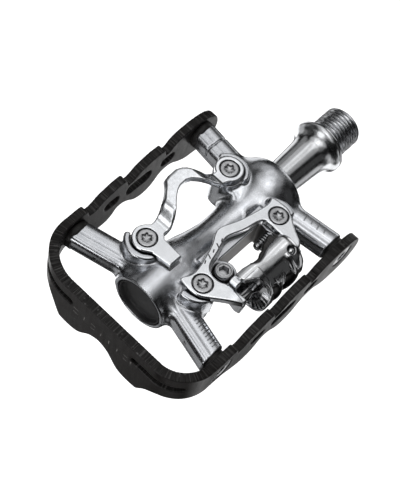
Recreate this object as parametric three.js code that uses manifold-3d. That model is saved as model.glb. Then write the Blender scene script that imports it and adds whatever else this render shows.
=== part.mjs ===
// Single-sided clipless platform pedal, left-hand side, in millimetres.
// Frame: origin on the spindle axis at the face that seats against the crank,
// +X towards the crank, +Y towards the toe of the shoe, +Z up (the cleat side).
import * as THREE from "three";
import { mergeVertices } from "three/addons/utils/BufferGeometryUtils.js";
import { ConvexGeometry } from "three/addons/geometries/ConvexGeometry.js";
import Module from "manifold-3d";

const wasm = await Module();
wasm.setup();

// ---------------------------------------------------------------- driving dimensions
const THREAD_R = 7.14;          // 9/16 inch major radius
const THREAD_L = 12.8;          // threaded length beyond the crank seat
const FLANGE_R = 9.6;           // shoulder that seats on the crank
const SHAFT_R1 = 6.55, SHAFT_R2 = 5.28;  // spindle radius at x = -10 and x = -30
const BARREL_IN = -24, BARREL_OUT = -86.2; // ends of the body barrel
const BORE_END_R = 8.45;        // bore at the outer end, closed by the dust cap
const CAGE_HALF = 32;           // outer face of the side plates
const CAGE_T = 3;               // cage plate thickness
const CAGE_OUT = -102.4;        // outer face of the end plate
const CAGE_IN = -18.8;          // crank-side end of the side plates
const CAGE_RF = 17, CAGE_RR = 12; // outer bend radii at the toe and heel corners
const END_TOP = 10.7;           // top of the end plate
const ARM_Z = 1.8;              // height of the arm axes
const ARM_OUT = -84.5, ARM_IN = -28.3;   // arm screws along X
const SEAT_Z = 9.6;             // machined tops of the four lugs
const PLATE_Z0 = 9.9, PLATE_Z1 = 12.4;   // underside and top of the steel plates
const F1 = [-74.5, 10.0], F2 = [-37.8, 10.0];    // front binding screws
const R1 = [-73.3, -11.4], R2 = [-38.9, -11.4];  // rear plate screws
const SCREW_HEAD_R = 2.95, SCREW_R = 1.8;
const PIVOT_Y = -21.4, PIVOT_Z = 7.0;            // axis of the rear claw
const PIN_R = 1.9;
const CLAW_X0 = -62.2, CLAW_X1 = -43.6;          // length of the claw along its pivot
const TENSION = [-64.9, -12.5];                  // adjusting screw
const TENSION_PITCH = 0.7;                       // M4 thread, mm per turn
const BALL_R = 1.15, BALL_PITCH_R = 6.0, BALLS = 7;
const BEARING_X = -70.5;                         // middle plane of the cartridge bearing

// ---------------------------------------------------------------- helpers
function outward(g) {
  const p = g.attributes.position, i = g.index.array;
  let v = 0;
  const a = new THREE.Vector3(), b = new THREE.Vector3(), c = new THREE.Vector3();
  for (let k = 0; k < i.length; k += 3) {
    a.fromBufferAttribute(p, i[k]); b.fromBufferAttribute(p, i[k + 1]); c.fromBufferAttribute(p, i[k + 2]);
    v += a.dot(b.clone().cross(c));
  }
  if (v < 0) for (let k = 0; k < i.length; k += 3) { const t = i[k]; i[k] = i[k + 1]; i[k + 1] = t; }
  return g;
}
function clean(geometry) {
  let g = geometry.clone();
  g.deleteAttribute("normal"); g.deleteAttribute("uv");
  g = mergeVertices(g, 1e-4);
  const out = [];
  const src = g.index.array;
  for (let k = 0; k < src.length; k += 3) {
    const [a, b, c] = [src[k], src[k + 1], src[k + 2]];
    if (a !== b && b !== c && a !== c) out.push(a, b, c);
  }
  g.setIndex(new THREE.BufferAttribute(new Uint32Array(out), 1));
  return outward(g);
}
function solid(geometry) {
  const g = clean(geometry);
  return new wasm.Manifold(new wasm.Mesh({
    numProp: 3,
    vertProperties: new Float32Array(g.attributes.position.array),
    triVerts: new Uint32Array(g.index.array),
  }));
}
function geo(m) {
  const mesh = m.getMesh();
  const g = new THREE.BufferGeometry();
  g.setAttribute("position", new THREE.BufferAttribute(new Float32Array(mesh.vertProperties), 3));
  g.setIndex(new THREE.BufferAttribute(new Uint32Array(mesh.triVerts), 1));
  g.computeVertexNormals();
  return g;
}
// profile of [axial, radius] pairs turned about X
function turn(profile, n = 36, y = 0, z = 0) {
  const pts = profile.map(([x, r]) => new THREE.Vector2(Math.max(r, 0), x));
  const g = new THREE.LatheGeometry(pts, n);
  g.rotateZ(-Math.PI / 2);
  g.translate(0, y, z);
  return g;
}
// profile of [height, radius] pairs turned about a vertical axis
function turnZ(profile, n, x, y) {
  const pts = profile.map(([h, r]) => new THREE.Vector2(Math.max(r, 0), h));
  const g = new THREE.LatheGeometry(pts, n);
  g.rotateX(Math.PI / 2);
  g.translate(x, y, 0);
  return g;
}
// profile of [distance, radius] pairs turned about Y
function turnY(profile, n, x, z) {
  const g = new THREE.LatheGeometry(profile.map(([d, r]) => new THREE.Vector2(Math.max(r, 0), d)), n);
  g.translate(x, 0, z);
  return g;
}
const ring = (x0, x1, r0, r1) => [[x0, r0], [x0, r1], [x1, r1], [x1, r0], [x0, r0]];
function shapeOf(points) { const s = new THREE.Shape(); s.setFromPoints(points.map(([a, b]) => new THREE.Vector2(a, b))); return s; }
function prismZ(points, z0, z1) {
  const g = new THREE.ExtrudeGeometry(shapeOf(points), { depth: z1 - z0, bevelEnabled: false });
  g.translate(0, 0, z0);
  return g;
}
const BX = new THREE.Matrix4().makeBasis(new THREE.Vector3(0, 1, 0), new THREE.Vector3(0, 0, 1), new THREE.Vector3(1, 0, 0));
const BY = new THREE.Matrix4().makeBasis(new THREE.Vector3(1, 0, 0), new THREE.Vector3(0, 0, 1), new THREE.Vector3(0, -1, 0));
function prismX(points, x0, x1) { // outline in (y, z)
  const g = new THREE.ExtrudeGeometry(shapeOf(points), { depth: x1 - x0, bevelEnabled: false });
  g.applyMatrix4(BX); g.translate(x0, 0, 0);
  return g;
}
function prismY(points, y0, y1) { // outline in (x, z)
  const g = new THREE.ExtrudeGeometry(shapeOf(points), { depth: y1 - y0, bevelEnabled: false });
  g.applyMatrix4(BY); g.translate(0, y1, 0);
  return g;
}
function box(x0, x1, y0, y1, z0, z1) {
  const g = new THREE.BoxGeometry(x1 - x0, y1 - y0, z1 - z0);
  g.translate((x0 + x1) / 2, (y0 + y1) / 2, (z0 + z1) / 2);
  return g;
}
function hull(points) { return new ConvexGeometry(points.map((p) => new THREE.Vector3(...p))); }
function arc(cx, cy, r, a0, a1, n) {
  const out = [];
  for (let k = 0; k <= n; k++) { const a = (a0 + (a1 - a0) * k / n) * Math.PI / 180; out.push([cx + r * Math.cos(a), cy + r * Math.sin(a)]); }
  return out;
}
function stadium(cx, cy, len, h, n = 4) {
  const d = len / 2 - h / 2;
  return [...arc(cx + d, cy, h / 2, -90, 90, n), ...arc(cx - d, cy, h / 2, 90, 270, n)];
}
function add(...list) { return list.slice(1).reduce((m, s) => m.add(s), list[0]); }
function cut(m, ...list) { return list.reduce((a, s) => a.subtract(s), m); }

const steel = (c, r = 0.25, m = 1) => new THREE.MeshStandardMaterial({ color: c, roughness: r, metalness: m });
const CHROME = () => steel(0xd8dade, 0.12);
const ALLOY = () => steel(0xa9acb2, 0.25);
const TURNED = () => steel(0x9a9b9e, 0.3);
const BLACK = () => steel(0x2a2a2d, 0.5, 0.6);
const PLASTIC = () => steel(0x1c1c1e, 0.6, 0);
const SCREW = () => steel(0xc2c4c8, 0.25);
const SPRING = () => steel(0x3a3a3d, 0.3);
const BRONZE = () => steel(0x9b7b4c, 0.4);

const pedal = new THREE.Group();
function put(name, g, material) {
  const body = clean(g);
  body.computeVertexNormals();
  const m = new THREE.Mesh(body, material);
  m.name = name;
  pedal.add(m);
  return m;
}

// ---------------------------------------------------------------- spindle and its bearings
const shaftAt = (x) => SHAFT_R1 + (SHAFT_R2 - SHAFT_R1) * (-10 - x) / 20;
const hexPts = (r) => arc(0, 0, r, 30, 330, 5);
{
  const profile = [
    [THREAD_L, 0], [THREAD_L, 6.2], [THREAD_L - 0.9, THREAD_R], [-0.6, THREAD_R], [-0.6, 7.5], [0, 7.5], [0, FLANGE_R - 0.5],
    [-0.5, FLANGE_R], [-1.5, FLANGE_R], [-2.2, 9.3], [-3.2, 8.35], [-4.6, 7.4], [-6.2, 6.95], [-8, 6.7], [-10, SHAFT_R1], [-30, SHAFT_R2],
    [-30.4, 5.2], [-42, 5.2], [-42.6, 4.6], [-67.9, 4.6], [-67.9, 3.98], [-73.2, 3.98], [-73.2, 3.5], [-79.0, 3.5], [-79.5, 3.0], [-79.5, 0],
  ];
  const hex = prismX(hexPts(3.5), THREAD_L - 8, THREAD_L + 1);
  put("spindle", geo(cut(solid(turn(profile, 24)), solid(hex))), TURNED());
}
put("spindle_washer", turn(ring(-74.5, -73.5, 3.7, 5.3), 20), SCREW());
{
  const nut = cut(solid(prismX(hexPts(4.6), -78.2, -74.8)), solid(turn([[-79, 0], [-79, 3.75], [-74, 3.75], [-74, 0]], 24)));
  put("spindle_lock_nut", geo(nut), SCREW());
}
// cartridge bearing 8 x 16 x 5
const bx0 = BEARING_X - 2.5, bx1 = BEARING_X + 2.5;
put("bearing_inner_ring", turn([[bx0, 4.1], [bx0, 5.35], [BEARING_X - 1.0, 5.35], [BEARING_X - 0.5, 4.95], [BEARING_X, 4.75], [BEARING_X + 0.5, 4.95], [BEARING_X + 1.0, 5.35], [bx1, 5.35], [bx1, 4.1], [bx0, 4.1]], 16), CHROME());
put("bearing_outer_ring", turn([[bx0, 7.9], [bx1, 7.9], [bx1, 6.75], [BEARING_X + 0.95, 6.75], [BEARING_X + 0.5, 7.15], [BEARING_X, 7.3], [BEARING_X - 0.5, 7.15], [BEARING_X - 0.95, 6.75], [bx0, 6.75], [bx0, 7.9]], 16), CHROME());
{
  let r = solid(turn(ring(BEARING_X - 1.65, BEARING_X + 1.65, 5.6, 6.45), 16));
  for (let k = 0; k < BALLS; k++) {
    const a = 2 * Math.PI * (k + 0.5) / BALLS, y = BALL_PITCH_R * Math.cos(a), z = BALL_PITCH_R * Math.sin(a);
    const pocket = new THREE.CylinderGeometry(BALL_R + 0.2, BALL_R + 0.2, 4, 7);
    pocket.rotateZ(0); pocket.rotateX(a); pocket.translate(BEARING_X, y, z);
    r = r.subtract(solid(pocket));
    const ball = new THREE.SphereGeometry(BALL_R - 0.05, 8, 6);
    ball.translate(BEARING_X, y, z);
    put(`bearing_ball_${k + 1}`, geo(solid(ball)), CHROME());
  }
  put("bearing_ball_retainer", geo(r), BRONZE());
}
put("bearing_shield_outer", turn(ring(bx0 + 0.1, bx0 + 0.45, 5.6, 6.6), 20), SCREW());
put("bearing_shield_inner", turn(ring(bx1 - 0.45, bx1 - 0.1, 5.6, 6.6), 20), SCREW());
put("spindle_bushing", turn(ring(-41.2, -30.2, 5.45, 6.4), 24), BRONZE());
put("spindle_seal", turn([[-24.35, 5.9], [-24.35, 8.15], [-27.7, 8.15], [-27.7, 5.75], [-26.6, 5.75], [-26.2, 6.3], [-25.4, 6.3], [-25.0, 5.9], [-24.35, 5.9]], 24), PLASTIC());
put("dust_cap", turn([[-86.0, 8.2], [-80.1, 8.2], [-80.1, 0], [-80.9, 0], [-80.9, 7.1], [-81.3, 7.45], [-86.0, 7.7], [-86.0, 8.2]], 28), PLASTIC());


// outline grown by d along its vertex normals, points counter-clockwise
function grow(points, d) {
  const n = points.length; let area = 0;
  for (let k = 0; k < n; k++) { const [a, b] = points[k], [c, e] = points[(k + 1) % n]; area += a * e - c * b; }
  const s = area > 0 ? 1 : -1;
  return points.map((p, k) => {
    const q = points[(k + n - 1) % n], r = points[(k + 1) % n];
    const n1 = [p[1] - q[1], q[0] - p[0]], n2 = [r[1] - p[1], p[0] - r[0]];
    const l1 = Math.hypot(...n1) || 1, l2 = Math.hypot(...n2) || 1;
    let x = n1[0] / l1 + n2[0] / l2, y = n1[1] / l1 + n2[1] / l2;
    const l = Math.hypot(x, y) || 1; x /= l; y /= l;
    const c = Math.max(0.5, (n1[0] / l1) * x + (n1[1] / l1) * y);
    return [p[0] + s * d * x / c, p[1] + s * d * y / c];
  });
}

// ---------------------------------------------------------------- outlines of the steel plates, seen from above
const HOOP_LUG_OUT = [
  ...arc(F1[0], F1[1], 4.5, 48, 228, 8), [-76.9, 5.4], [-76.0, -1.0], [-71.3, -1.0], [-70.9, 6.4], [-69.7, 7.6], [-67.2, 7.8], [-67.7, 12.4], [-70.3, 12.2],
];
const HOOP_LUG_IN = [
  ...arc(F2[0], F2[1], 4.5, 132, -130, 10), [-42.9, 7.6], [-44.4, 7.8], [-44.0, 12.3], [-41.8, 12.2],
];
const REAR_OUTLINE = [
  [-35.2, -5.2], [-37.6, -6.5], [-40.8, -6.1], [-46.3, -5.0], [-49.8, -4.2], [-53.8, -2.5], [-56.2, -1.9], [-58.5, -2.5], [-60.7, -4.0],
  [-64.0, -5.3], [-69.8, -7.0], [-73.6, -7.4], [-76.6, -5.5], [-77.4, -6.2], [-77.6, -11.2], [-76.9, -13.8], [-75.2, -16.0], [-72.4, -19.2], [-70.7, -22.0],
  [-68.6, -23.6], [-66.6, -23.2], [-66.4, -19.4], [-67.4, -16.6], [-68.9, -14.8], [-69.3, -12.5], [-68.9, -10.6], [-67.8, -9.2], [-66.3, -8.3],
  [-62.4, -7.4], [-59.2, -6.3], [-56.6, -5.6], [-54.2, -6.2], [-50.4, -7.7], [-45.7, -8.4], [-43.8, -9.1], [-42.9, -10.4], [-43.3, -15.2],
  [-43.4, -19.6], [-43.3, -22.8], [-41.0, -22.6], [-39.0, -18.2], [-36.0, -14.2], [-34.9, -11.6], [-34.7, -9.6],
].reverse();

// ---------------------------------------------------------------- cast body: barrel, four arms, four lugs
const barrelProfile = [
  [BARREL_IN, 8.35], [BARREL_IN, 10.9], [-24.6, 11.4], [-27.5, 12.05], [-30, 12.05], [-33, 11.3], [-36.5, 9.6], [-40, 8.1],
  [-45, 6.8], [-51, 6.3], [-56.5, 6.75], [-61, 7.6], [-66, 8.9], [-70, 9.6], [-76, 10.0], [BARREL_OUT, 9.6],
  [BARREL_OUT, BORE_END_R], [-79.6, BORE_END_R], [-79.6, 8.1], [-67.6, 8.1], [-66.4, 5.1], [-43.5, 5.1], [-42.0, 6.6], [-28.2, 6.6], [-28.2, 8.35], [BARREL_IN, 8.35],
];
const bore = solid(turn([[-20, 0], [-20, 8.35], [-28.2, 8.35], [-28.2, 6.6], [-42.0, 6.6], [-43.5, 5.1], [-66.4, 5.1], [-67.6, 8.1], [-79.6, 8.1], [-79.6, BORE_END_R], [-90, BORE_END_R], [-90, 0]], 28));
// arm section: flat crown, rounded shoulders, a groove at the parting line
const armSection = [
  [-2.4, 4.5], [2.4, 4.5], [3.8, 3.8], [4.5, 2.4], [4.55, 1.0], [4.0, 0.3], [4.0, -0.3], [4.5, -0.9], [4.3, -2.2], [3.4, -3.5], [2.0, -4.0],
  [-2.0, -4.0], [-3.4, -3.5], [-4.3, -2.2], [-4.5, -0.9], [-4.0, -0.3], [-4.0, 0.3], [-4.55, 1.0], [-4.5, 2.4], [-3.8, 3.8],
];
function armSolid(x0, y0, x1, y1) {
  const s = Math.sign(y1), L = Math.hypot(x1 - x0, y1 - y0) + 4;
  const g = new THREE.ExtrudeGeometry(shapeOf(armSection), { depth: L, bevelEnabled: false });
  const d = new THREE.Vector3(x1 - x0, y1 - y0, 0).normalize();
  const up = new THREE.Vector3(0, 0, 1), side = up.clone().cross(d);
  g.applyMatrix4(new THREE.Matrix4().makeBasis(side, up, d));
  g.translate(x0, y0, ARM_Z);
  const inner = CAGE_HALF - CAGE_T - (s > 0 && x1 === ARM_OUT ? 1.0 : 0.3);
  return solid(g).subtract(solid(s > 0 ? box(-200, 50, inner, 60, -20, 20) : box(-200, 50, -60, -inner, -20, 20)));
}
const ARMS = [[-79, 7, ARM_OUT, 28.7], [-31, 7, ARM_IN, 28.7], [-79, -7, ARM_OUT, -28.7], [-31, -7, ARM_IN, -28.7]];
{
  let m = solid(turn(barrelProfile, 28));
  for (const a of ARMS) m = m.add(armSolid(...a));
  // lugs carry the steel plates, with webs running into the barrel
  for (const [x, y] of [F1, F2, R1, R2]) {
    m = m.add(solid(turnZ([[-3.5, 0], [-3.5, 3.4], [0, 4.6], [SEAT_Z, 4.9], [SEAT_Z, 0]], 14, x, y)));
    const s = Math.sign(y), w = 4.0;
    m = m.add(solid(box(x - w, x + w, Math.min(s * 3, s * 10.4), Math.max(s * 3, s * 10.4), -3.2, SEAT_Z - 1.4)));
  }
  // rail under the rear plate, and the cup round the tension screw
  m = m.add(solid(box(-67, -39, -8.6, -4.2, -1.5, SEAT_Z)));
  m = m.add(solid(turnZ([[3.6, 0], [3.6, 4.2], [SEAT_Z, 4.3], [SEAT_Z, 0]], 20, ...TENSION)));
  m = m.add(solid(box(-71, TENSION[0], -14.6, -8, 3.6, SEAT_Z - 0.4)));
  // raised lips beside the plates
  const lip = (cx, cy, r0, r1, a0, a1, z0, z1) => solid(prismZ([...arc(cx, cy, r1, a0, a1, 6), ...arc(cx, cy, r0, a1, a0, 3)], z0, z1));
  m = m.add(lip(F1[0], F1[1], 4.2, 6.8, 118, 262, 2, 11.4));
  m = m.add(lip(F2[0], F2[1], 4.2, 6.5, -78, 72, 2, 11.6));
  m = m.add(lip(R1[0] + 1.4, R1[1] + 2.0, 5.8, 8.0, 178, 254, 2, 11.2));
  m = m.add(lip(R2[0] - 0.4, R2[1] + 1.2, 4.0, 6.6, -36, 56, 2, 11.4));
  m = m.subtract(bore);
  for (const [x, y] of [F1, F2, R1, R2]) m = m.subtract(solid(turnZ([[-1.0, 0], [-1.0, 2.1], [12, 2.1], [12, 0]], 10, x, y)));
  for (const [, , x1, y1] of ARMS) {
    m = m.subtract(solid(turnY(y1 > 0 ? [[17, 0], [17, 2.45], [40, 2.45], [40, 0]] : [[-40, 0], [-40, 2.45], [-17, 2.45], [-17, 0]], 12, x1, ARM_Z)));
  }
  // cup bore, shank hole, and room for the nut underneath
  m = m.subtract(solid(turnZ([[6.2, 0], [6.2, 3.2], [14, 3.3], [14, 0]], 20, ...TENSION)));
  m = m.subtract(solid(turnZ([[-12, 0], [-12, 1.85], [7, 1.85], [7, 0]], 12, ...TENSION)));
  m = m.subtract(solid(box(TENSION[0] - 3.3, TENSION[0] + 3.3, -16.5, -9.2, -9, 3.5)));
  // seats of the steel plates and 0.3 mm round their edges
  m = m.subtract(solid(prismZ(grow(REAR_OUTLINE, 0.35), SEAT_Z, 20)));
  m = m.subtract(solid(prismZ(grow(HOOP_LUG_OUT, 0.35), SEAT_Z, 20)));
  m = m.subtract(solid(prismZ(grow(HOOP_LUG_IN, 0.35), SEAT_Z, 20)));
  put("pedal_body", geo(m), ALLOY());
}

// ---------------------------------------------------------------- cage: one bent strip with wavy, notched edges
{
  const H = CAGE_HALF, h = H - CAGE_T;
  const fx = CAGE_OUT + CAGE_RF, fy = H - CAGE_RF, rx = CAGE_OUT + CAGE_RR, ry = -(H - CAGE_RR);
  const plan = [
    [CAGE_IN, H], ...arc(fx, fy, CAGE_RF, 90, 180, 8), ...arc(rx, ry, CAGE_RR, 180, 270, 8), [CAGE_IN, -H],
    [CAGE_IN, -h], ...arc(rx, ry, CAGE_RR - CAGE_T, 270, 180, 8), ...arc(fx, fy, CAGE_RF - CAGE_T, 180, 90, 8), [CAGE_IN, h],
  ];
  let m = solid(prismZ(plan, -12, 12));
  const side = [
    [-97.6, -14], [-110, -14], [-110, 14], [-99.5, 14], [-99.5, 10.75], [-97, 10.6], [-93.5, 9.8], [-90, 8.8], [-86, 8.1], [-82.5, 8.3], [-79.8, 8.3], [-78.6, 5.2], [-77, 4.9],
    [-73.3, 6.2], [-69.3, 7.8], [-65.5, 8.6], [-63.1, 8.5], [-61.9, 5.3], [-60.2, 4.8], [-57.2, 6.4], [-54.2, 7.8], [-50.5, 8.6], [-46.2, 8.4], [-45.0, 5.2], [-43.6, 5.0],
    [-40.6, 7.3], [-36.1, 8.4], [-31.5, 8.6], [-27.5, 8.2], [-24.5, 7.3], [-22.2, 5.8], [-20.3, 3.6], [-19.1, 0.9], [-18.8, -1.6],
    [-19.3, -4.2], [-20.9, -6.6], [-23.4, -8.1], [-27.3, -8.7], [-33.5, -8.2], [-37.4, -6.2], [-40.6, -3.9], [-43.4, -3.4], [-46.2, -4.2], [-48.9, -7.6], [-51.5, -9.0], [-54.5, -9.3],
    [-57.6, -8.2], [-60.5, -5.6], [-63.2, -4.2], [-65.6, -4.4], [-67.6, -7.2], [-70.2, -8.5], [-74.2, -8.4], [-78.5, -6.4], [-83, -3.6], [-88.5, -2.2], [-94, -1.8], [-96.5, -2.2],
  ];
  m = m.intersect(solid(prismY(side, -40, 40)));
  const end = [
    [-40, -2.0], [-24.0, -2.2], [-21.2, -3.5], [-18.9, -5.6], [-17.2, -8.6], [-16.9, -9.8], [-14.5, -10.0], [-11.5, -10.1], [-9.0, -9.6], [-7.2, -8.4],
    [-5.4, -6.2], [-3.6, -4.2], [-1.4, -3.1], [0, -2.9], [1.4, -3.1], [3.6, -4.2], [5.4, -6.2], [7.2, -8.4], [9.0, -9.6], [11.5, -10.1], [14.5, -10.0], [16.9, -9.8], [17.2, -8.6],
    [18.9, -5.6], [21.2, -3.5], [24.0, -2.2], [40, -2.0], [40, END_TOP], [-40, END_TOP],
  ];
  m = m.intersect(solid(prismX(end, -120, -14)));
  // windows in the side plates
  for (const [x, z, l, w] of [[-68.5, 1.2, 6.4, 4.2], [-56.5, 0.9, 11.4, 5.2], [-43.4, 1.1, 6.4, 4.2]]) m = m.subtract(solid(prismY(stadium(x, z, l, w), -40, 40)));
  // slots that run round the bends
  for (const s of [1, -1]) {
    m = m.subtract(solid(box(-110, -95, s > 0 ? 12.4 : -20.5, s > 0 ? 16.5 : -12.4, 3.2, 6.2)));
    const R = s > 0 ? CAGE_RF : CAGE_RR, c = s > 0 ? [fx, fy] : [rx, ry];
    const sector = [...arc(...c, R + 3, s * 128, s * 182, 5), ...arc(...c, R - CAGE_T - 2, s * 182, s * 128, 5)];
    m = m.subtract(solid(prismZ(sector, 3.2, 6.2)));
  }
  for (const s of [1, -1]) for (const x of [ARM_OUT, ARM_IN]) {
    m = m.subtract(solid(turnY([[s * 27, 0], [s * 27, 2.75], [s * 30.0, 2.75], [s * 31.7, 4.35], [s * 34, 4.35], [s * 34, 0]], 16, x, ARM_Z)));
  }
  put("cage_plate", geo(m), BLACK());
}
for (const [name, x, s] of [["front_outer", ARM_OUT, 1], ["front_inner", ARM_IN, 1], ["rear_outer", ARM_OUT, -1], ["rear_inner", ARM_IN, -1]]) {
  const m = solid(turnY([[s * 18, 0], [s * 18, 2.15], [s * 29.6, 2.15], [s * 31.4, 3.95], [s * 31.7, 3.95], [s * 31.7, 0]], 16, x, ARM_Z));
  const hex = new THREE.CylinderGeometry(1.75, 1.75, 3, 6);
  hex.translate(x, s * 31.6, ARM_Z);
  put(`cage_screw_${name}`, geo(m.subtract(solid(hex))), SCREW());
}

// ---------------------------------------------------------------- front binding: a bent steel hoop
const counterbore = (x, y) => solid(turnZ([[PLATE_Z0 - 1, 0], [PLATE_Z0 - 1, 2.15], [PLATE_Z0 + 1.0, 2.15], [PLATE_Z0 + 1.0, 3.25], [PLATE_Z1 + 2, 3.25], [PLATE_Z1 + 2, 0]], 16, x, y));
{
  const T = PLATE_Z1 - PLATE_Z0, ZA = 16.6; // ZA: top of the raised bridge
  let m = solid(prismZ(HOOP_LUG_OUT, PLATE_Z0, PLATE_Z1)).add(solid(prismZ(HOOP_LUG_IN, PLATE_Z0, PLATE_Z1)));
  const strap = (a, b, c, d) => solid(hull([[...a, PLATE_Z1], [...b, PLATE_Z1], [...a, PLATE_Z0], [...b, PLATE_Z0], [...c, ZA], [...d, ZA], [...c, ZA - T], [...d, ZA - T]]));
  m = m.add(strap([-68.2, 7.9], [-68.4, 12.35], [-62.0, 11.0], [-63.6, 15.0]));
  m = m.add(strap([-43.6, 7.9], [-43.3, 12.25], [-49.6, 10.6], [-47.6, 14.8]));
  const bridge = [[-63.9, 14.8], [-62.2, 10.8], [-60.6, 12.2], [-57.4, 14.8], [-55.2, 15.4], [-52.4, 14.8], [-50.2, 12.6], [-49.4, 10.4], [-47.2, 14.6], [-49.2, 17.6], [-51.6, 19.6], [-58.6, 19.6], [-61.0, 18.2]];
  m = m.add(solid(prismZ(bridge, ZA - T, ZA)));
  m = m.subtract(counterbore(...F1)).subtract(counterbore(...F2));
  put("front_hoop", geo(m), CHROME());
}
// ---------------------------------------------------------------- rear plate with two folded ears
{
  let m = solid(prismZ(REAR_OUTLINE, PLATE_Z0, PLATE_Z1));
  const ear = (x0, x1) => solid(prismX([[-17.8, PLATE_Z0 + 1], [-18.3, 5.6], [-19.7, 3.8], [-21.4, 3.3], [-23.4, 4.2], [-24.5, 6.2], [-23.2, PLATE_Z0 + 1]], x0, x1));
  m = m.add(ear(-68.8, -66.5)).add(ear(-43.4, -42.0));
  m = m.subtract(counterbore(...R1)).subtract(counterbore(...R2));
  m = m.subtract(solid(turn([[-75, 0], [-75, PIN_R + 0.2], [-35, PIN_R + 0.2], [-35, 0]], 20, PIVOT_Y, PIVOT_Z)));
  put("rear_plate", geo(m), CHROME());
}
for (const [name, [x, y]] of [["front_hoop_screw_outer", F1], ["front_hoop_screw_inner", F2], ["rear_plate_screw_outer", R1], ["rear_plate_screw_inner", R2]]) {
  const m = solid(turnZ([[0, 0], [0, SCREW_R], [PLATE_Z0 + 1.2, SCREW_R], [PLATE_Z0 + 1.2, SCREW_HEAD_R], [PLATE_Z1 - 0.2, SCREW_HEAD_R], [PLATE_Z1, SCREW_HEAD_R - 0.25], [PLATE_Z1, 0]], 16, x, y));
  const hex = prismZ(hexPts(1.5).map(([a, b]) => [a + x, b + y]), PLATE_Z1 - 1.0, PLATE_Z1 + 1);
  put(name, geo(m.subtract(solid(hex))), SCREW());
}

// ---------------------------------------------------------------- sprung rear claw on its pivot pin
put("claw_pivot_pin", turn([[-70.0, 0], [-70.0, 2.7], [-69.1, 2.9], [-69.1, PIN_R], [-41.3, PIN_R], [-40.8, 1.4], [-40.8, 0]], 20, PIVOT_Y, PIVOT_Z), CHROME());
put("pivot_pin_clip", turn(ring(-41.9, -41.4, PIN_R + 0.1, 2.75), 16, PIVOT_Y, PIVOT_Z), SPRING());
{
  const outer = [
    [-15.9, 13.3], [-16.2, 14.7], [-17.8, 15.4], [-20.4, 15.4], [-23.2, 14.3], [-25.6, 12.0], [-27.2, 9.2], [-27.8, 6.2], [-27.1, 3.0], [-25.4, 0.9], [-23.2, 0.4], [-18.6, 3.4],
    [-19.2, 4.6], [-23.4, 2.0], [-24.7, 2.2], [-25.8, 3.8], [-26.3, 6.3], [-25.8, 8.6], [-24.4, 10.9], [-22.5, 12.7], [-20.3, 13.6], [-18.2, 13.6], [-16.9, 13.0],
  ];
  let m = solid(prismX(outer, CLAW_X0, CLAW_X1));
  // the two cheeks turn on the pin
  const cheekShape = [...outer.slice(0, 11), [-19.2, 4.0], [-18.2, 7.0], [-17.6, 11.0]];
  const pinHole = solid(turn([[-75, 0], [-75, PIN_R + 0.2], [-35, PIN_R + 0.2], [-35, 0]], 20, PIVOT_Y, PIVOT_Z));
  m = m.add(solid(prismX(cheekShape, -60.6, -59.2))).add(solid(prismX(cheekShape, CLAW_X1 - 1.3, CLAW_X1)));
  m = m.subtract(pinHole);
  // rear cut away over the spring, with a toothed edge
  m = m.subtract(solid(prismX([[-24.6, -1], [-24.6, 10.4], [-30, 10.4], [-30, -1]], -57.8, -45.6)));
  m = m.subtract(solid(prismX([[-22.4, -2], [-22.4, 6.0], [-30, 6.0], [-30, -2]], -57.8, -45.6)));
  m = m.subtract(solid(prismX([[-16, -2], [-22.6, -2], [-22.6, 5.0], [-16, 5.0]], -57.8, -45.6)));
  for (const x of [-55.4, -50.6]) m = m.subtract(solid(prismZ([[x - 1.6, -30], [x + 1.6, -30], [x + 1.2, -24.4], [x, -22.6], [x - 1.2, -24.4]], 9, 16)));
  m = m.subtract(solid(prismZ([[-63, -30], [-60.4, -30], [-61.2, -19], [-63, -17]], -2, 17)));
  put("rear_claw", geo(m), CHROME());
}
put("claw_end_block", prismX([[-16.2, 11.8], [-16.2, 14.4], [-17.0, 15.0], [-19.3, 15.0], [-19.9, 14.2], [-19.9, 11.8], [-19.0, 11.0], [-17.0, 11.0]], -65.7, CLAW_X0 - 0.3), CHROME());

// two torsion springs wound round the pin
class Helix extends THREE.Curve {
  constructor(x0, pitch, turns, R, start, sign) { super(); Object.assign(this, { x0, pitch, turns, R, start, sign }); }
  getPoint(t, v = new THREE.Vector3()) {
    const a = this.start + this.sign * 2 * Math.PI * this.turns * t;
    return v.set(this.x0 + this.pitch * this.turns * t, PIVOT_Y + this.R * Math.cos(a), PIVOT_Z + this.R * Math.sin(a));
  }
}
function coil(name, x0, turns, start, sign) {
  const section = shapeOf(arc(0, 0, 0.88, 0, 300, 5));
  const g = new THREE.ExtrudeGeometry(section, { steps: Math.round(11 * turns), bevelEnabled: false, extrudePath: new Helix(x0, 2.1, turns, 3.7, start, sign) });
  put(name, geo(solid(g)), SPRING());
}
coil("claw_spring_outer", -57.4, 2.75, -0.4, 1);
coil("claw_spring_inner", -50.1, 2.0, -0.4, -1);

// ---------------------------------------------------------------- tension screw and its nut
{
  const m = solid(turnZ([[-2.8, 0], [-2.8, 1.5], [6.5, 1.5], [6.5, 2.7], [11.0, 2.75], [11.4, 2.4], [11.4, 0]], 18, ...TENSION));
  const hex = prismZ(hexPts(1.75).map(([a, b]) => [a + TENSION[0], b + TENSION[1]]), 9.0, 13);
  put("tension_screw", geo(m.subtract(solid(hex))), SCREW());
}
{
  const [x, y] = TENSION;
  const m = solid(box(x - 2.6, x + 2.6, y - 3.2, y + 2.6, -1.6, 0.9)).subtract(solid(turnZ([[-5, 0], [-5, 1.65], [5, 1.65], [5, 0]], 12, x, y)));
  put("tension_nut", geo(m), SPRING());
}
void TENSION_PITCH;

export default pedal;
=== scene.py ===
import math
import bpy
import numpy as np
from mathutils import Matrix, Vector


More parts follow.
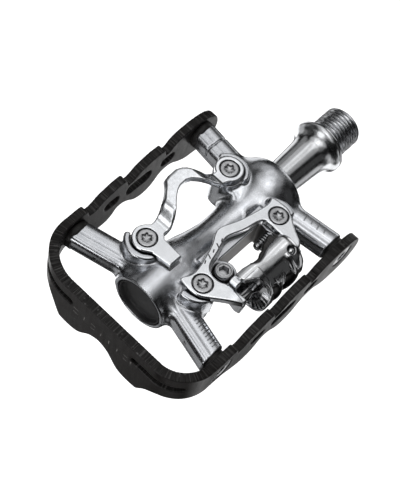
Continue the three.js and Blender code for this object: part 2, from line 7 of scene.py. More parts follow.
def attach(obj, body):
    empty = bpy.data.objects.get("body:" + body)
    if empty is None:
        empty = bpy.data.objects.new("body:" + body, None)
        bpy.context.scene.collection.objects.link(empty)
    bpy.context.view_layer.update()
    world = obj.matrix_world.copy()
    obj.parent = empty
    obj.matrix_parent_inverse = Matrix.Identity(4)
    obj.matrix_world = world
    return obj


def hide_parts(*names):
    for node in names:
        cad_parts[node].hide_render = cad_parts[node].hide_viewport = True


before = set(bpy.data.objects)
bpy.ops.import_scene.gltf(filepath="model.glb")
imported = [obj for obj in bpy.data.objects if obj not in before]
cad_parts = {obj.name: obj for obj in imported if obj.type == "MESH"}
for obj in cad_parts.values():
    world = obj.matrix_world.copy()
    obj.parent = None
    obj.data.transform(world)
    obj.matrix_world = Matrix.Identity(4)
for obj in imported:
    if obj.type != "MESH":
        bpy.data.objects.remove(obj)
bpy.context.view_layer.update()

RNG = np.random.default_rng(7)
SC = bpy.context.scene

# ------------------------------------------------------------------ dimensions, millimetres, the same as the CAD
THREAD_R, THREAD_L, FLANGE_R = 7.14, 12.8, 9.6
SHAFT_R1, SHAFT_R2 = 6.55, 5.28
BARREL_IN, BARREL_OUT, BORE_END_R = -24.0, -86.2, 8.45
CAGE_HALF, CAGE_T, CAGE_OUT, CAGE_IN, CAGE_RF, CAGE_RR, END_TOP = 32.0, 3.0, -102.4, -18.8, 17.0, 12.0, 10.7
ARM_Z, ARM_OUT, ARM_IN = 1.8, -84.5, -28.3
SEAT_Z, PLATE_Z0, PLATE_Z1 = 9.6, 9.9, 12.4
F1, F2, R1, R2 = (-74.5, 10.0), (-37.8, 10.0), (-73.3, -11.4), (-38.9, -11.4)
PIVOT_Y, PIVOT_Z, PIN_R = -21.4, 7.0, 1.9
CLAW_X0, CLAW_X1 = -62.2, -43.6
TENSION = (-64.9, -12.5)

# ------------------------------------------------------------------ solid modelling by distance fields
def smin(a, b, k):
    h = np.maximum(k - np.abs(a - b), 0.0) / k
    return np.minimum(a, b) - h * h * (k * 0.25)

def smax(a, b, k):
    return -smin(-a, -b, k)

def polar(*a):
    return np.sqrt(sum(x * x for x in a))

def smooth_table(pts, width, lo, hi, n=1200):
    """a dense table of a piecewise line, blurred over width"""
    p = np.array(sorted(pts), float)
    x = np.linspace(lo, hi, n)
    y = np.interp(x, p[:, 0], p[:, 1])
    w = max(1, int(width / (hi - lo) * n))
    k = np.hanning(2 * w + 3); k /= k.sum()
    y = np.convolve(np.pad(y, (w + 1, w + 1), mode="edge"), k, mode="valid")
    return x, y

def chaikin(pts, n=2, w=0.25):
    p = np.array(pts, float)
    for _ in range(n):
        q = np.roll(p, -1, 0)
        p = np.stack([p * (1 - w) + q * w, p * w + q * (1 - w)], 1).reshape(-1, 2)
    return p

class Poly:
    """signed distance to a closed outline, tabulated on a fine grid"""
    def __init__(self, outlines, holes=(), h=0.12, pad=4.0, blend=0.5):
        allp = np.concatenate([np.asarray(o, float) for o in outlines])
        lo = allp.min(0) - pad; hi = allp.max(0) + pad
        n = np.ceil((hi - lo) / h).astype(int) + 2
        self.lo, self.h, self.n = lo, h, n
        gx = (lo[0] + h * np.arange(n[0]))[:, None]; gy = (lo[1] + h * np.arange(n[1]))[None, :]
        d = None
        for o in outlines:
            e = self._sd(np.asarray(o, float), gx, gy)
            d = e if d is None else smin(d, e, blend)
        for o in holes:
            d = smax(d, -self._sd(np.asarray(o, float), gx, gy), blend * 0.5)
        self.g = d.astype(np.float32)
    @staticmethod
    def _sd(p, gx, gy):
        q = np.roll(p, -1, 0)
        best = None; inside = None
        for (ax, ay), (bx, by) in zip(p, q):
            ex, ey = bx - ax, by - ay
            L = ex * ex + ey * ey
            if L < 1e-12:
                continue
            wx, wy = gx - ax, gy - ay
            t = np.clip((wx * ex + wy * ey) / L, 0, 1)
            dd = (wx - ex * t) ** 2 + (wy - ey * t) ** 2
            best = dd if best is None else np.minimum(best, dd)
            c = ((ay <= gy) & (by > gy)) | ((by <= gy) & (ay > gy))
            c = c & ((gx - ax) * (1.0 if ey > 0 else -1.0) * ey < ex * wy * (1.0 if ey > 0 else -1.0)) if abs(ey) > 1e-12 else c & False
            c = np.broadcast_to(c, (gx.shape[0], gy.shape[1]))
            inside = c.copy() if inside is None else inside ^ c
        return np.where(inside, -1, 1) * np.sqrt(best)
    def __call__(self, x, y):
        x, y = np.broadcast_arrays(x, y)
        u = np.clip((x - self.lo[0]) / self.h, 0, self.n[0] - 1.001); v = np.clip((y - self.lo[1]) / self.h, 0, self.n[1] - 1.001)
        i = u.astype(np.int32); j = v.astype(np.int32); a = u - i; b = v - j
        g = self.g
        return (g[i, j] * (1 - a) * (1 - b) + g[i + 1, j] * a * (1 - b) + g[i, j + 1] * (1 - a) * b + g[i + 1, j + 1] * a * b)

def plate(d2, w, r):
    """rounded edge between an outline distance d2 and a thickness distance w"""
    a, b = d2 + r, w + r
    return polar(np.maximum(a, 0), np.maximum(b, 0)) - r + np.minimum(np.maximum(a, b), 0)

def surface(f, lo, hi, h, newton=3):
    """closed quad mesh of f = 0, each vertex moved onto the true surface; also the surface normals"""
    lo = np.array(lo, float); hi = np.array(hi, float)
    h = np.array([h] * 3 if np.isscalar(h) else h, float)
    n = np.ceil((hi - lo) / h).astype(int) + 1
    ax = [lo[k] + h[k] * np.arange(n[k]) for k in range(3)]
    D = f(ax[0][:, None, None], ax[1][None, :, None], ax[2][None, None, :]).astype(np.float32)
    D = np.broadcast_to(D, tuple(n)).copy()
    D[0] = D[-1] = 1.0; D[:, 0] = D[:, -1] = 1.0; D[:, :, 0] = D[:, :, -1] = 1.0
    S = D < 0
    c = [S[i:n[0] - 1 + i, j:n[1] - 1 + j, k:n[2] - 1 + k] for i in (0, 1) for j in (0, 1) for k in (0, 1)]
    any_ = c[0].copy(); all_ = c[0].copy()
    for s in c[1:]:
        any_ |= s; all_ &= s
    act = any_ & ~all_
    I = np.argwhere(act)
    idx = np.full(act.shape, -1, np.int32); idx[act] = np.arange(len(I))
    pos = np.zeros((len(I), 3)); cnt = np.zeros(len(I))
    corners = [(i, j, k) for i in (0, 1) for j in (0, 1) for k in (0, 1)]
    for a in corners:
        for axis in range(3):
            if a[axis]:
                continue
            b = list(a); b[axis] = 1
            da = D[I[:, 0] + a[0], I[:, 1] + a[1], I[:, 2] + a[2]]; db = D[I[:, 0] + b[0], I[:, 1] + b[1], I[:, 2] + b[2]]
            m = (da < 0) != (db < 0)
            t = np.where(m, da / np.where(m, da - db, 1), 0)
            off = np.array(a, float)[None, :].repeat(len(I), 0); off[:, axis] += t
            pos[m] += off[m]; cnt[m] += 1
    P = lo + (I + pos / cnt[:, None]) * h
    quads = []
    for axis in range(3):
        u, v = [(1, 2), (2, 0), (0, 1)][axis]
        s0 = [slice(None)] * 3; s1 = [slice(None)] * 3
        s0[axis] = slice(0, n[axis] - 1); s1[axis] = slice(1, n[axis])
        A, B = S[tuple(s0)], S[tuple(s1)]
        e = np.argwhere(A != B)
        e = e[(e[:, u] > 0) & (e[:, v] > 0) & (e[:, u] < n[u] - 1) & (e[:, v] < n[v] - 1)]
        flip = A[e[:, 0], e[:, 1], e[:, 2]]
        def cell(du, dv):
            q = e.copy(); q[:, u] += du; q[:, v] += dv
            return idx[q[:, 0], q[:, 1], q[:, 2]]
        q = np.stack([cell(-1, -1), cell(0, -1), cell(0, 0), cell(-1, 0)], 1)
        q[~flip] = q[~flip][:, ::-1]
        quads.append(q)
    F = np.concatenate(quads)
    F = F[(F >= 0).all(1)]
    G = None
    eps = 0.03
    P0 = P.copy()
    for it in range(newton + 1):
        x, y, z = P.T
        G = np.stack([f(x + eps, y, z) - f(x - eps, y, z), f(x, y + eps, z) - f(x, y - eps, z), f(x, y, z + eps) - f(x, y, z - eps)], 1) / (2 * eps)
        L = np.maximum(polar(*G.T), 1e-6)
        if it == newton:
            break
        d = f(x, y, z)
        step = -(d / np.maximum(L * L, 0.2))[:, None] * G
        l = polar(*step.T); m = 0.35 * h.min()
        step *= np.minimum(1, m / np.maximum(l, 1e-9))[:, None]
        P = P + step
        away = P - P0; la = np.maximum(polar(*away.T), 1e-9)
        P = P0 + away * np.minimum(1, 0.75 * h.min() / la)[:, None]
    N = G / L[:, None]
    return P, F, N

def mesh_object(name, P, F, N=None, smooth=True, scale=0.001):
    me = bpy.data.meshes.new(name)
    P = np.asarray(P, float) * scale
    me.vertices.add(len(P)); me.vertices.foreach_set("co", P.astype(np.float32).ravel())
    if isinstance(F, np.ndarray):
        k = F.shape[1]
        me.loops.add(F.size); me.loops.foreach_set("vertex_index", F.astype(np.int32).ravel())
        me.polygons.add(len(F)); me.polygons.foreach_set("loop_start", (np.arange(len(F)) * k).astype(np.int32))
        me.polygons.foreach_set("loop_total", np.full(len(F), k, np.int32))
    else:
        flat = [i for f in F for i in f]
        me.loops.add(len(flat)); me.loops.foreach_set("vertex_index", flat)
        starts = np.cumsum([0] + [len(f) for f in F[:-1]])
        me.polygons.add(len(F)); me.polygons.foreach_set("loop_start", starts.astype(np.int32))
        me.polygons.foreach_set("loop_total", np.array([len(f) for f in F], np.int32))
    me.update(calc_edges=True)
    me.validate()
    me.polygons.foreach_set("use_smooth", [smooth] * len(me.polygons))
    if N is not None and len(me.vertices) == len(N):
        me.normals_split_custom_set_from_vertices(np.asarray(N, float).tolist())
    ob = bpy.data.objects.new(name, me)
    SC.collection.objects.link(ob)
    return ob

def lathe(name, prof, n=96, axis="X", at=(0, 0), sharp=30):
    """closed profile of [axial, radius] turned about X, Y or Z; the profile runs round the section"""
    P = []; rows = []
    prof = [tuple(p) for p in prof]
    for a, r in prof:
        if r < 1e-6:
            rows.append([len(P)]); P.append((a, 0.0, 0.0))
        else:
            rows.append(list(range(len(P), len(P) + n)))
            for k in range(n):
                t = 2 * math.pi * k / n
                P.append((a, r * math.cos(t), r * math.sin(t)))
    F = []
    m = len(rows)
    closed = prof[0] == prof[-1]
    for i in range(m - 1):
        A, B = rows[i], rows[i + 1]
        if closed and i == m - 2:
            B = rows[0]
        if len(A) == 1 and len(B) == 1:
            continue
        for k in range(n):
            l = (k + 1) % n
            if len(A) == 1:
                F.append((A[0], B[l], B[k]))
            elif len(B) == 1:
                F.append((A[k], A[l], B[0]))
            else:
                F.append((A[k], A[l], B[l], B[k]))
    P = np.array(P)
    if axis == "X":
        Q = np.stack([P[:, 0], P[:, 1] + at[0], P[:, 2] + at[1]], 1)
    elif axis == "Y":
        Q = np.stack([P[:, 2] + at[0], P[:, 0], P[:, 1] + at[1]], 1)
    else:
        Q = np.stack([P[:, 1] + at[0], P[:, 2] + at[1], P[:, 0]], 1)
    used = sorted(set(i for f in F for i in f)); remap = {u: i for i, u in enumerate(used)}
    F = [tuple(remap[i] for i in f) for f in F]
    ob = mesh_object(name, Q[used], F)
    fix_normals(ob); edge_split(ob, sharp)
    return ob

def fix_normals(ob):
    import bmesh
    bm = bmesh.new(); bm.from_mesh(ob.data)
    bmesh.ops.recalc_face_normals(bm, faces=bm.faces)
    if bm.calc_volume(signed=True) < 0:
        bmesh.ops.reverse_faces(bm, faces=bm.faces)
    bm.to_mesh(ob.data); bm.free()

def edge_split(ob, deg):
    ob.data.polygons.foreach_set("use_smooth", [True] * len(ob.data.polygons))
    ob.data.set_sharp_from_angle(angle=math.radians(deg))

def round_profile(pts, r, n=5):
    """closed profile with each corner rounded by a radius r (a number, or one per corner)"""
    pts = [np.array(p, float) for p in pts]
    out = []
    m = len(pts)
    rr = [r] * m if np.isscalar(r) else list(r)
    for i in range(m):
        p, a, b = pts[i], pts[i - 1], pts[(i + 1) % m]
        if rr[i] <= 0 or (p[1] < 1e-9):
            out.append(p); continue
        u = a - p; v = b - p; lu, lv = np.linalg.norm(u), np.linalg.norm(v)
        u /= lu; v /= lv
        ang = math.acos(max(-1, min(1, float(u @ v))))
        if ang > math.pi - 0.05:
            out.append(p); continue
        t = min(rr[i] / math.tan(ang / 2), 0.45 * lu, 0.45 * lv)
        for k in range(n + 1):
            s = k / n
            out.append((p + u * t) * (1 - s) ** 2 + 2 * s * (1 - s) * p + (p + v * t) * s * s)
    return [tuple(p) for p in out]

H = 1.0      # coarser grids while trying things

# ------------------------------------------------------------------ outlines seen from above
def arc(cx, cy, r, a0, a1, n):
    t = np.radians(np.linspace(a0, a1, n + 1))
    return [(cx + r * math.cos(v), cy + r * math.sin(v)) for v in t]

HOOP_LUG_OUT = arc(*F1, 4.6, 42, 222, 18) + [(-76.9, 5.4), (-76.0, -1.0), (-71.3, -1.0), (-70.9, 6.2), (-69.7, 7.4), (-67.2, 7.8), (-67.7, 12.4), (-70.3, 12.4)]
HOOP_LUG_IN = arc(*F2, 4.6, 138, -136, 24) + [(-42.9, 7.6), (-44.4, 7.8), (-44.0, 12.3), (-41.8, 12.2)]
REAR_OUTLINE = [
    (-35.2, -5.2), (-37.6, -6.5), (-40.8, -6.1), (-46.3, -5.0), (-49.8, -4.2), (-53.8, -2.5), (-56.2, -1.9), (-58.5, -2.5), (-60.7, -4.0),
    (-64.0, -5.3), (-69.8, -7.0), (-73.6, -7.4), (-76.6, -5.5), (-77.4, -6.2), (-77.6, -11.2), (-76.9, -13.8), (-74.9, -16.3), (-72.9, -18.7), (-71.4, -20.7), (-70.0, -22.6),
    (-69.2, -23.7), (-68.6, -23.7), (-68.3, -22.9), (-68.1, -20.4), (-67.9, -17.6), (-68.1, -16.0), (-69.0, -14.6), (-69.3, -12.5), (-68.9, -10.6), (-67.8, -9.2), (-66.3, -8.3),
    (-62.4, -7.4), (-59.2, -6.3), (-56.6, -5.6), (-54.2, -6.2), (-50.4, -7.7), (-45.7, -8.4), (-43.8, -9.1), (-42.9, -10.4), (-43.3, -15.2),
    (-43.4, -19.6), (-43.3, -22.8), (-41.0, -22.6), (-39.0, -18.2), (-36.0, -14.2), (-34.9, -11.6), (-34.7, -9.6)]

# ------------------------------------------------------------------ the cast body
PR = [(-86.2, 9.6), (-84, 9.7), (-80, 9.9), (-76, 10.0), (-72, 9.8), (-68, 9.3), (-64, 8.4), (-61, 7.6), (-58, 7.0), (-55, 6.5), (-51, 6.3), (-47, 6.5),
      (-43.2, 7.2), (-40, 8.1), (-36, 9.8), (-33, 11.3), (-30, 12.05), (-27, 12.05), (-25, 11.6), (-24, 10.9)]
bxx, brr = smooth_table(PR, 2.0, -92, -18)
bsl = np.gradient(brr, bxx)
BORE = [(-92, 8.45), (-79.7, 8.45), (-79.6, 8.1), (-67.6, 8.1), (-66.4, 5.1), (-43.5, 5.1), (-42.0, 6.6), (-28.3, 6.6), (-28.2, 8.35), (-18, 8.35)]
SIDE = [(4.25, 1.5), (4.25, 0.6), (4.35, -0.1), (4.55, -0.7), (4.5, -1.3), (4.25, -1.9), (3.9, -2.6), (3.2, -3.4), (2.1, -3.9), (0, -4.0)]
CROWN = [(-4.35, 1.2), (-4.25, 2.2), (-3.75, 3.15), (-2.9, 3.9), (-1.8, 4.36), (-0.6, 4.5), (0.4, 4.46), (1.0, 4.26), (1.5, 4.02), (2.0, 4.0), (2.6, 4.04), (3.3, 3.75), (3.9, 3.1), (4.2, 2.3)]
SECTION = CROWN + SIDE + [(-a, b) for a, b in SIDE[-2::-1]]
arm_poly = Poly([chaikin(SECTION, 2)], h=0.08, pad=9.0, blend=0.3)
ARMS = [(-79, 7, ARM_OUT, 28.7), (-31, 7, ARM_IN, 28.7), (-79, -7, ARM_OUT, -28.7), (-31, -7, ARM_IN, -28.7)]
rear_poly = Poly([chaikin(REAR_OUTLINE, 2)], h=0.1)
hoop_out_poly = Poly([HOOP_LUG_OUT], h=0.1, blend=0.3)
hoop_in_poly = Poly([HOOP_LUG_IN], h=0.1, blend=0.3)

def rbox(x, y, z, x0, x1, y0, y1, z0, z1, r):
    a = np.abs(x - (x0 + x1) / 2) - (x1 - x0) / 2 + r
    b = np.abs(y - (y0 + y1) / 2) - (y1 - y0) / 2 + r
    c = np.abs(z - (z0 + z1) / 2) - (z1 - z0) / 2 + r
    return polar(np.maximum(a, 0), np.maximum(b, 0), np.maximum(c, 0)) - r + np.minimum(np.maximum(np.maximum(a, b), c), 0)

def vcyl(x, y, z, cx, cy, rad, z0, z1, r, taper=0.0):
    q = polar(x - cx, y - cy) - rad + taper * (z1 - z)
    w = np.abs(z - (z0 + z1) / 2) - (z1 - z0) / 2
    return plate(q, w, r)

def crescent(x, y, z, cx, cy, r0, r1, a0, a1, z0, z1, e=0.75):
    """raised lip on an arc about (cx, cy), rounded all round"""
    rm, hw = (r0 + r1) / 2, (r1 - r0) / 2
    am, ah = math.radians((a0 + a1) / 2), math.radians((a1 - a0) / 2)
    dx, dy = x - cx, y - cy
    c, s = math.cos(am), math.sin(am)
    u, v = dx * c + dy * s, np.abs(-dx * s + dy * c)
    ang = np.arctan2(v, u)
    on = np.abs(polar(u, v) - rm)
    ex, ey = rm * math.cos(ah), rm * math.sin(ah)
    end = polar(u - ex, v - ey)
    d2 = np.where(ang <= ah, on, end) - hw
    w = np.abs(z - (z0 + z1) / 2) - (z1 - z0) / 2
    return plate(d2, w, e)

def f_body(x, y, z):
    r = polar(y, z)
    R = np.interp(x, bxx, brr); sl = np.interp(x, bxx, bsl)
    d = (r - R) / np.sqrt(1 + sl * sl)
    d = smax(smax(d, x - BARREL_IN, 0.9), BARREL_OUT - x, 0.55)
    for x0, y0, x1, y1 in ARMS:
        L = math.hypot(x1 - x0, y1 - y0); ux, uy = (x1 - x0) / L, (y1 - y0) / L
        t = (x - x0) * ux + (y - y0) * uy
        a = -(x - x0) * uy + (y - y0) * ux
        s = 1 if y1 > 0 else -1
        q = arm_poly(s * a + 0 * z, z - ARM_Z + 0 * a)
        inner = CAGE_HALF - CAGE_T - 1.35
        q = smax(q, s * y - inner, 0.9)
        if s > 0 and x1 == ARM_IN:
            q = q + 0.28 * np.exp(-((y - 21.3 - 0.12 * a) / 0.32) ** 2) * (z > 2)
        q = smax(q, -3.5 - t, 0.5)
        d = smin(d, q, 3.4)
    for (cx, cy) in (F1, F2, R1, R2):
        s = 1 if cy > 0 else -1
        q = vcyl(x, y, z, cx, cy, 4.9, -3.4, SEAT_Z, 0.35, 0.035)
        q = smin(q, rbox(x, y, z, cx - 3.7, cx + 3.7, min(s * 3, s * 9.8), max(s * 3, s * 9.8), -3.0, SEAT_Z - 1.6, 1.2), 2.0)
        d = smin(d, q, 2.4)
    d = smin(d, rbox(x, y, z, -67, -39, -8.6, -4.2, -1.5, SEAT_Z, 0.4), 1.6)
    cup = vcyl(x, y, z, *TENSION, 4.3, 3.6, SEAT_Z, 0.5)
    cup = smin(cup, rbox(x, y, z, -71, TENSION[0], -14.6, -8, 3.6, SEAT_Z - 0.4, 0.5), 0.8)
    d = smin(d, cup, 1.0)
    lips = crescent(x, y, z, *F1, 4.7, 6.8, 120, 250, 3, 11.4)
    lips = np.minimum(lips, crescent(x, y, z, *F2, 4.7, 6.6, -70, 64, 3, 11.6))
    lips = np.minimum(lips, crescent(x, y, z, R1[0] + 1.4, R1[1] + 2.0, 6.0, 8.1, 180, 250, 3, 11.2))
    lips = np.minimum(lips, crescent(x, y, z, R2[0] - 0.4, R2[1] + 1.2, 4.7, 6.7, -30, 50, 3, 11.4))
    d = smin(d, lips, 1.0)
    # plate seats, screw and nut room, bore
    def seat(p, g):
        return np.maximum(p(x, y) - g, SEAT_Z - z)
    for p in (rear_poly, hoop_out_poly, hoop_in_poly):
        d = smax(d, -seat(p, 0.38), 0.25)
    tx, ty = x - TENSION[0], y - TENSION[1]
    d = smax(d, -np.maximum(polar(tx, ty) - 3.25, 6.2 - z), 0.6)
    d = smax(d, -np.maximum(polar(tx, ty) - 1.85, 0 * z), 0.2)
    d = smax(d, -rbox(x, y, z, TENSION[0] - 3.3, TENSION[0] + 3.3, -16.5, -9.2, -9, 3.5, 0.4), 0.4)
    B = np.interp(x, [b[0] for b in BORE], [b[1] for b in BORE])
    return smax(d, -(r - B), 0.35)

def box_surface(f, lo, hi, h):
    return surface(f, lo, hi, h)

# dark rings round the arm ends where they meet the cage
collars = []
for k, (x0, y0, x1, y1) in enumerate(ARMS):
    s_ = 1 if y1 > 0 else -1
    xa = x1 - (x1 - x0) / (y1 - y0) * s_ * 0.9
    g_ = 1.0 if s_ > 0 else 0.84      # the front pair is the larger
    rows_c = [(s_ * 26.6, 2.3), (s_ * 26.6, 4.3 * g_), (s_ * 26.68, 4.6 * g_), (s_ * 26.9, 4.78 * g_), (s_ * 28.4, 4.92 * g_), (s_ * 28.8, 4.82 * g_), (s_ * 28.97, 4.5 * g_), (s_ * 28.97, 2.3), (s_ * 26.6, 2.3)]
    collars.append((k, xa, rows_c))
P, F, N = surface(f_body, (-91, -29.6, -13), (-22.6, 29.6, 13), 0.26 * H)
body = mesh_object("cast_body", P, F, N)
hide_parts("pedal_body"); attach(body, "pedal")

# ------------------------------------------------------------------ turned and swept pieces
def revolve(name, rows, n=96, axis="X", at=(0.0, 0.0), sharp=32, phase=0.0, flip=False):
    """rows of (axial, radius): a radius is a number or a function of the angle; the first and last row close on the axis or on each other"""
    th = 2 * np.pi * np.arange(n) / n + phase
    V, idx = [], []
    cnt = 0
    for a, r in rows:
        if not callable(r) and r < 1e-6:
            idx.append(np.array([cnt])); V.append(np.array([[a if not callable(a) else 0, 0, 0]])); cnt += 1
        else:
            rr = r(th) if callable(r) else np.full(n, float(r))
            aa = a(th) if callable(a) else np.full(n, float(a))
            V.append(np.stack([aa, rr * np.cos(th), rr * np.sin(th)], 1)); idx.append(np.arange(cnt, cnt + n)); cnt += n
    V = np.concatenate(V)
    F = []
    for A, B in zip(idx[:-1], idx[1:]):
        if len(A) == 1 and len(B) == 1:
            continue
        if len(A) == 1:
            F += [(int(A[0]), int(B[(k + 1) % n]), int(B[k])) for k in range(n)]
        elif len(B) == 1:
            F += [(int(A[k]), int(A[(k + 1) % n]), int(B[0])) for k in range(n)]
        else:
            F += [(int(A[k]), int(A[(k + 1) % n]), int(B[(k + 1) % n]), int(B[k])) for k in range(n)]
    if axis == "X":
        Q = np.stack([V[:, 0], V[:, 1] + at[0], V[:, 2] + at[1]], 1)
    elif axis == "Y":
        Q = np.stack([V[:, 2] + at[0], V[:, 0], V[:, 1] + at[1]], 1)
    else:
        Q = np.stack([V[:, 1] + at[0], V[:, 2] + at[1], V[:, 0]], 1)
    ob = mesh_object(name, Q, F)
    fix_normals(ob); edge_split(ob, sharp)
    return ob

def hexagon(r, turn=0.0, soft=0.0):
    """radius of a hexagon of corner radius r at each angle"""
    def f(t):
        a = np.mod(t + turn, math.pi / 3) - math.pi / 6
        return r * math.cos(math.pi / 6) / np.cos(a) * (1 - soft * (np.abs(a) / (math.pi / 6)) ** 6)
    return f

def lobes(r0, amp, turn=0.0, k=6):
    return lambda t: r0 + amp * np.cos(k * (t + turn)) + 0.25 * amp * np.cos(2 * k * (t + turn))

def tube(name, pts, rad, n=12, caps=True):
    pts = np.array(pts, float)
    T = np.gradient(pts, axis=0); T /= np.linalg.norm(T, axis=1)[:, None]
    up = np.array([0, 0, 1.0]) if abs(T[0][2]) < 0.9 else np.array([1.0, 0, 0])
    U = np.cross(T[0], up); U /= np.linalg.norm(U)
    V, F = [], []
    rad = np.full(len(pts), rad) if np.isscalar(rad) else np.array(rad)
    for i, p in enumerate(pts):
        U = U - T[i] * (U @ T[i]); U /= np.linalg.norm(U); W = np.cross(T[i], U)
        for k in range(n):
            a = 2 * math.pi * k / n
            V.append(p + rad[i] * (math.cos(a) * U + math.sin(a) * W))
    m = len(pts)
    for i in range(m - 1):
        for k in range(n):
            l = (k + 1) % n
            F.append((i * n + k, i * n + l, (i + 1) * n + l, (i + 1) * n + k))
    c0 = len(V); V.append(pts[0] - T[0] * rad[0] * 0.35); c1 = len(V); V.append(pts[-1] + T[-1] * rad[-1] * 0.35)
    for k in range(n):
        l = (k + 1) % n
        F.append((c0, l, k)); F.append((c1, (m - 1) * n + k, (m - 1) * n + l))
    ob = mesh_object(name, V, F)
    fix_normals(ob); edge_split(ob, 50)
    return ob

def put(ob, body, slot, *nodes):
    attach(ob, body)
    if nodes:
        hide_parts(*nodes)
    return ob

collar_obs = [put(revolve("arm_end_ring_%d" % k, rc, 56, "Y", (xa, ARM_Z), 35), "pedal", "cage_black") for k, xa, rc in collars]

# ------------------------------------------------------------------ plain raised casting marks on the rear arms
def crown_z(a):
    return ARM_Z + float(np.interp(a, [p[0] for p in CROWN], [p[1] for p in CROWN]))
def on_arm(k, t, a, up=0.0):
    """a point on the crown of arm k: t along it, a across it (outboard positive)"""
    x0, y0, x1, y1 = ARMS[k]
    L = math.hypot(x1 - x0, y1 - y0); ux, uy = (x1 - x0) / L, (y1 - y0) / L
    s = 1 if y1 > 0 else -1
    return (x0 + ux * t - uy * a * s, y0 + uy * t + ux * a * s, crown_z(a) + up)
marks = []
for t0, hl in ((9.2, 1.5), (11.6, 1.0), (14.0, 1.5), (16.4, 1.0)):
    marks.append([on_arm(3, t0 + 0.3 * v, -0.9 + hl * v, -0.02) for v in np.linspace(-1, 1, 7)])
for k in range(9):
    t0 = 9.4 + 1.18 * k
    marks.append([on_arm(2, t0 + 0.35 * v, -1.7 + 1.25 * v, -0.02) for v in np.linspace(-1, 1, 7)])
mark_obs = [put(tube("casting_mark_%02d" % k, p, 0.2, 8), "pedal", "body_alloy") for k, p in enumerate(marks)]

# ------------------------------------------------------------------ spindle with its crank thread
PITCH = 1.27
def thread_r(x):
    def f(t):
        ph = (x + PITCH * t / (2 * math.pi)) / PITCH          # left-hand helix
        w = np.abs(np.mod(ph, 1.0) - 0.5) * 2                 # 0 at the crest, 1 at the root
        v = np.clip((w - 0.16) / 0.68, 0, 1)
        fade = np.clip((x + 0.3) / 0.9, 0, 1) * np.clip((12.5 - x) / 0.7, 0, 1)
        full = THREAD_R - 0.74 * v * fade
        cham = 6.15 + max(0.0, (12.8 - x)) * 1.05
        return np.minimum(full, cham)
    return f
rows = [(4.8, 0.0), (4.8, hexagon(3.42)), (12.45, hexagon(3.5)), (12.8, hexagon(3.85)), (12.8, 6.0)]
nx = 118
for k in range(nx + 1):
    x = 12.78 - (12.78 + 0.45) * k / nx
    rows.append((x, thread_r(x)))
rows += [(-0.5, 7.15), (-0.5, 7.5), (-0.02, 7.55), (0, 7.7), (0, 9.05), (-0.08, 9.3), (-0.3, 9.52), (-0.65, 9.6), (-1.35, 9.6), (-1.75, 9.5), (-2.2, 9.25), (-2.75, 8.78), (-3.4, 8.2), (-4.2, 7.66), (-5.2, 7.25), (-6.5, 6.93), (-8.0, 6.71)]
for x in np.linspace(-10, -30, 15):
    rows.append((float(x), SHAFT_R1 + (SHAFT_R2 - SHAFT_R1) * (-10 - float(x)) / 20))
rows += [(-30.4, 5.2), (-42, 5.2), (-42.6, 4.6), (-67.9, 4.6), (-67.9, 3.98), (-73.2, 3.98), (-73.2, 3.5), (-79.0, 3.5), (-79.5, 3.0), (-79.5, 0.0)]
spindle = put(revolve("spindle_turned", rows, 144, sharp=38), "spindle", "spindle_steel", "spindle")

# ------------------------------------------------------------------ dust cap, seal
rows = [(-79.9, 0.0), (-79.9, 7.9), (-80.1, 8.1), (-85.75, 8.25), (-86.02, 8.12), (-86.1, 7.95), (-86.02, 7.78), (-85.7, 7.66)]
for k in range(9):
    a = math.radians(90 * k / 8)
    rows.append((-85.1 + 0.75 * math.sin(a), 7.55 - 0.75 * (1 - math.cos(a))))
rows += [(-84.28, 6.0), (-84.2, 5.0), (-84.1, 3.5), (-84.02, 2.0), (-84.0, 0.0)]
cap = put(revolve("dust_cap_moulded", rows, 112, sharp=60), "pedal", "cap_plastic", "dust_cap")
rows = [(-27.7, 5.75), (-27.7, 8.1), (-24.45, 8.2), (-24.3, 8.1), (-24.2, 7.6), (-24.45, 7.2), (-24.5, 6.6), (-24.2, 6.15), (-24.15, 5.95), (-24.4, 5.82), (-25.0, 5.9), (-25.4, 6.3), (-26.2, 6.3), (-26.6, 5.75), (-27.7, 5.75)]
seal = put(revolve("lip_seal", rows, 96, sharp=50), "pedal", "seal_rubber", "spindle_seal")

# ------------------------------------------------------------------ cage strip, modelled flat and bent round its plan
SA = -CAGE_IN * 0 + (CAGE_IN - (CAGE_OUT + CAGE_RF))          # straight front side, 66.6
S1 = SA + CAGE_RF * math.pi / 2
SB = S1 + (CAGE_HALF - CAGE_RF) + (CAGE_HALF - CAGE_RR)
S2 = SB + CAGE_RR * math.pi / 2
SE = S2 + (CAGE_IN - (CAGE_OUT + CAGE_RR))
def s_front(x):
    c = CAGE_OUT + CAGE_RF
    return CAGE_IN - x if x >= c else SA + CAGE_RF * math.asin(min(1, (c - x) / CAGE_RF))
def s_rear(x):
    c = CAGE_OUT + CAGE_RR
    return SE - (CAGE_IN - x) if x >= c else S2 - CAGE_RR * math.asin(min(1, (c - x) / CAGE_RR))
def s_end(y):
    if y > CAGE_HALF - CAGE_RF:
        return SA + CAGE_RF * math.acos(min(1, (y - (CAGE_HALF - CAGE_RF)) / CAGE_RF)) if False else SA + CAGE_RF * (math.pi / 2 - math.asin(min(1, (y - (CAGE_HALF - CAGE_RF)) / CAGE_RF)))
    if y < -(CAGE_HALF - CAGE_RR):
        return SB + CAGE_RR * math.asin(min(1, (-(CAGE_HALF - CAGE_RR) - y) / CAGE_RR))
    return S1 + (CAGE_HALF - CAGE_RF) - y
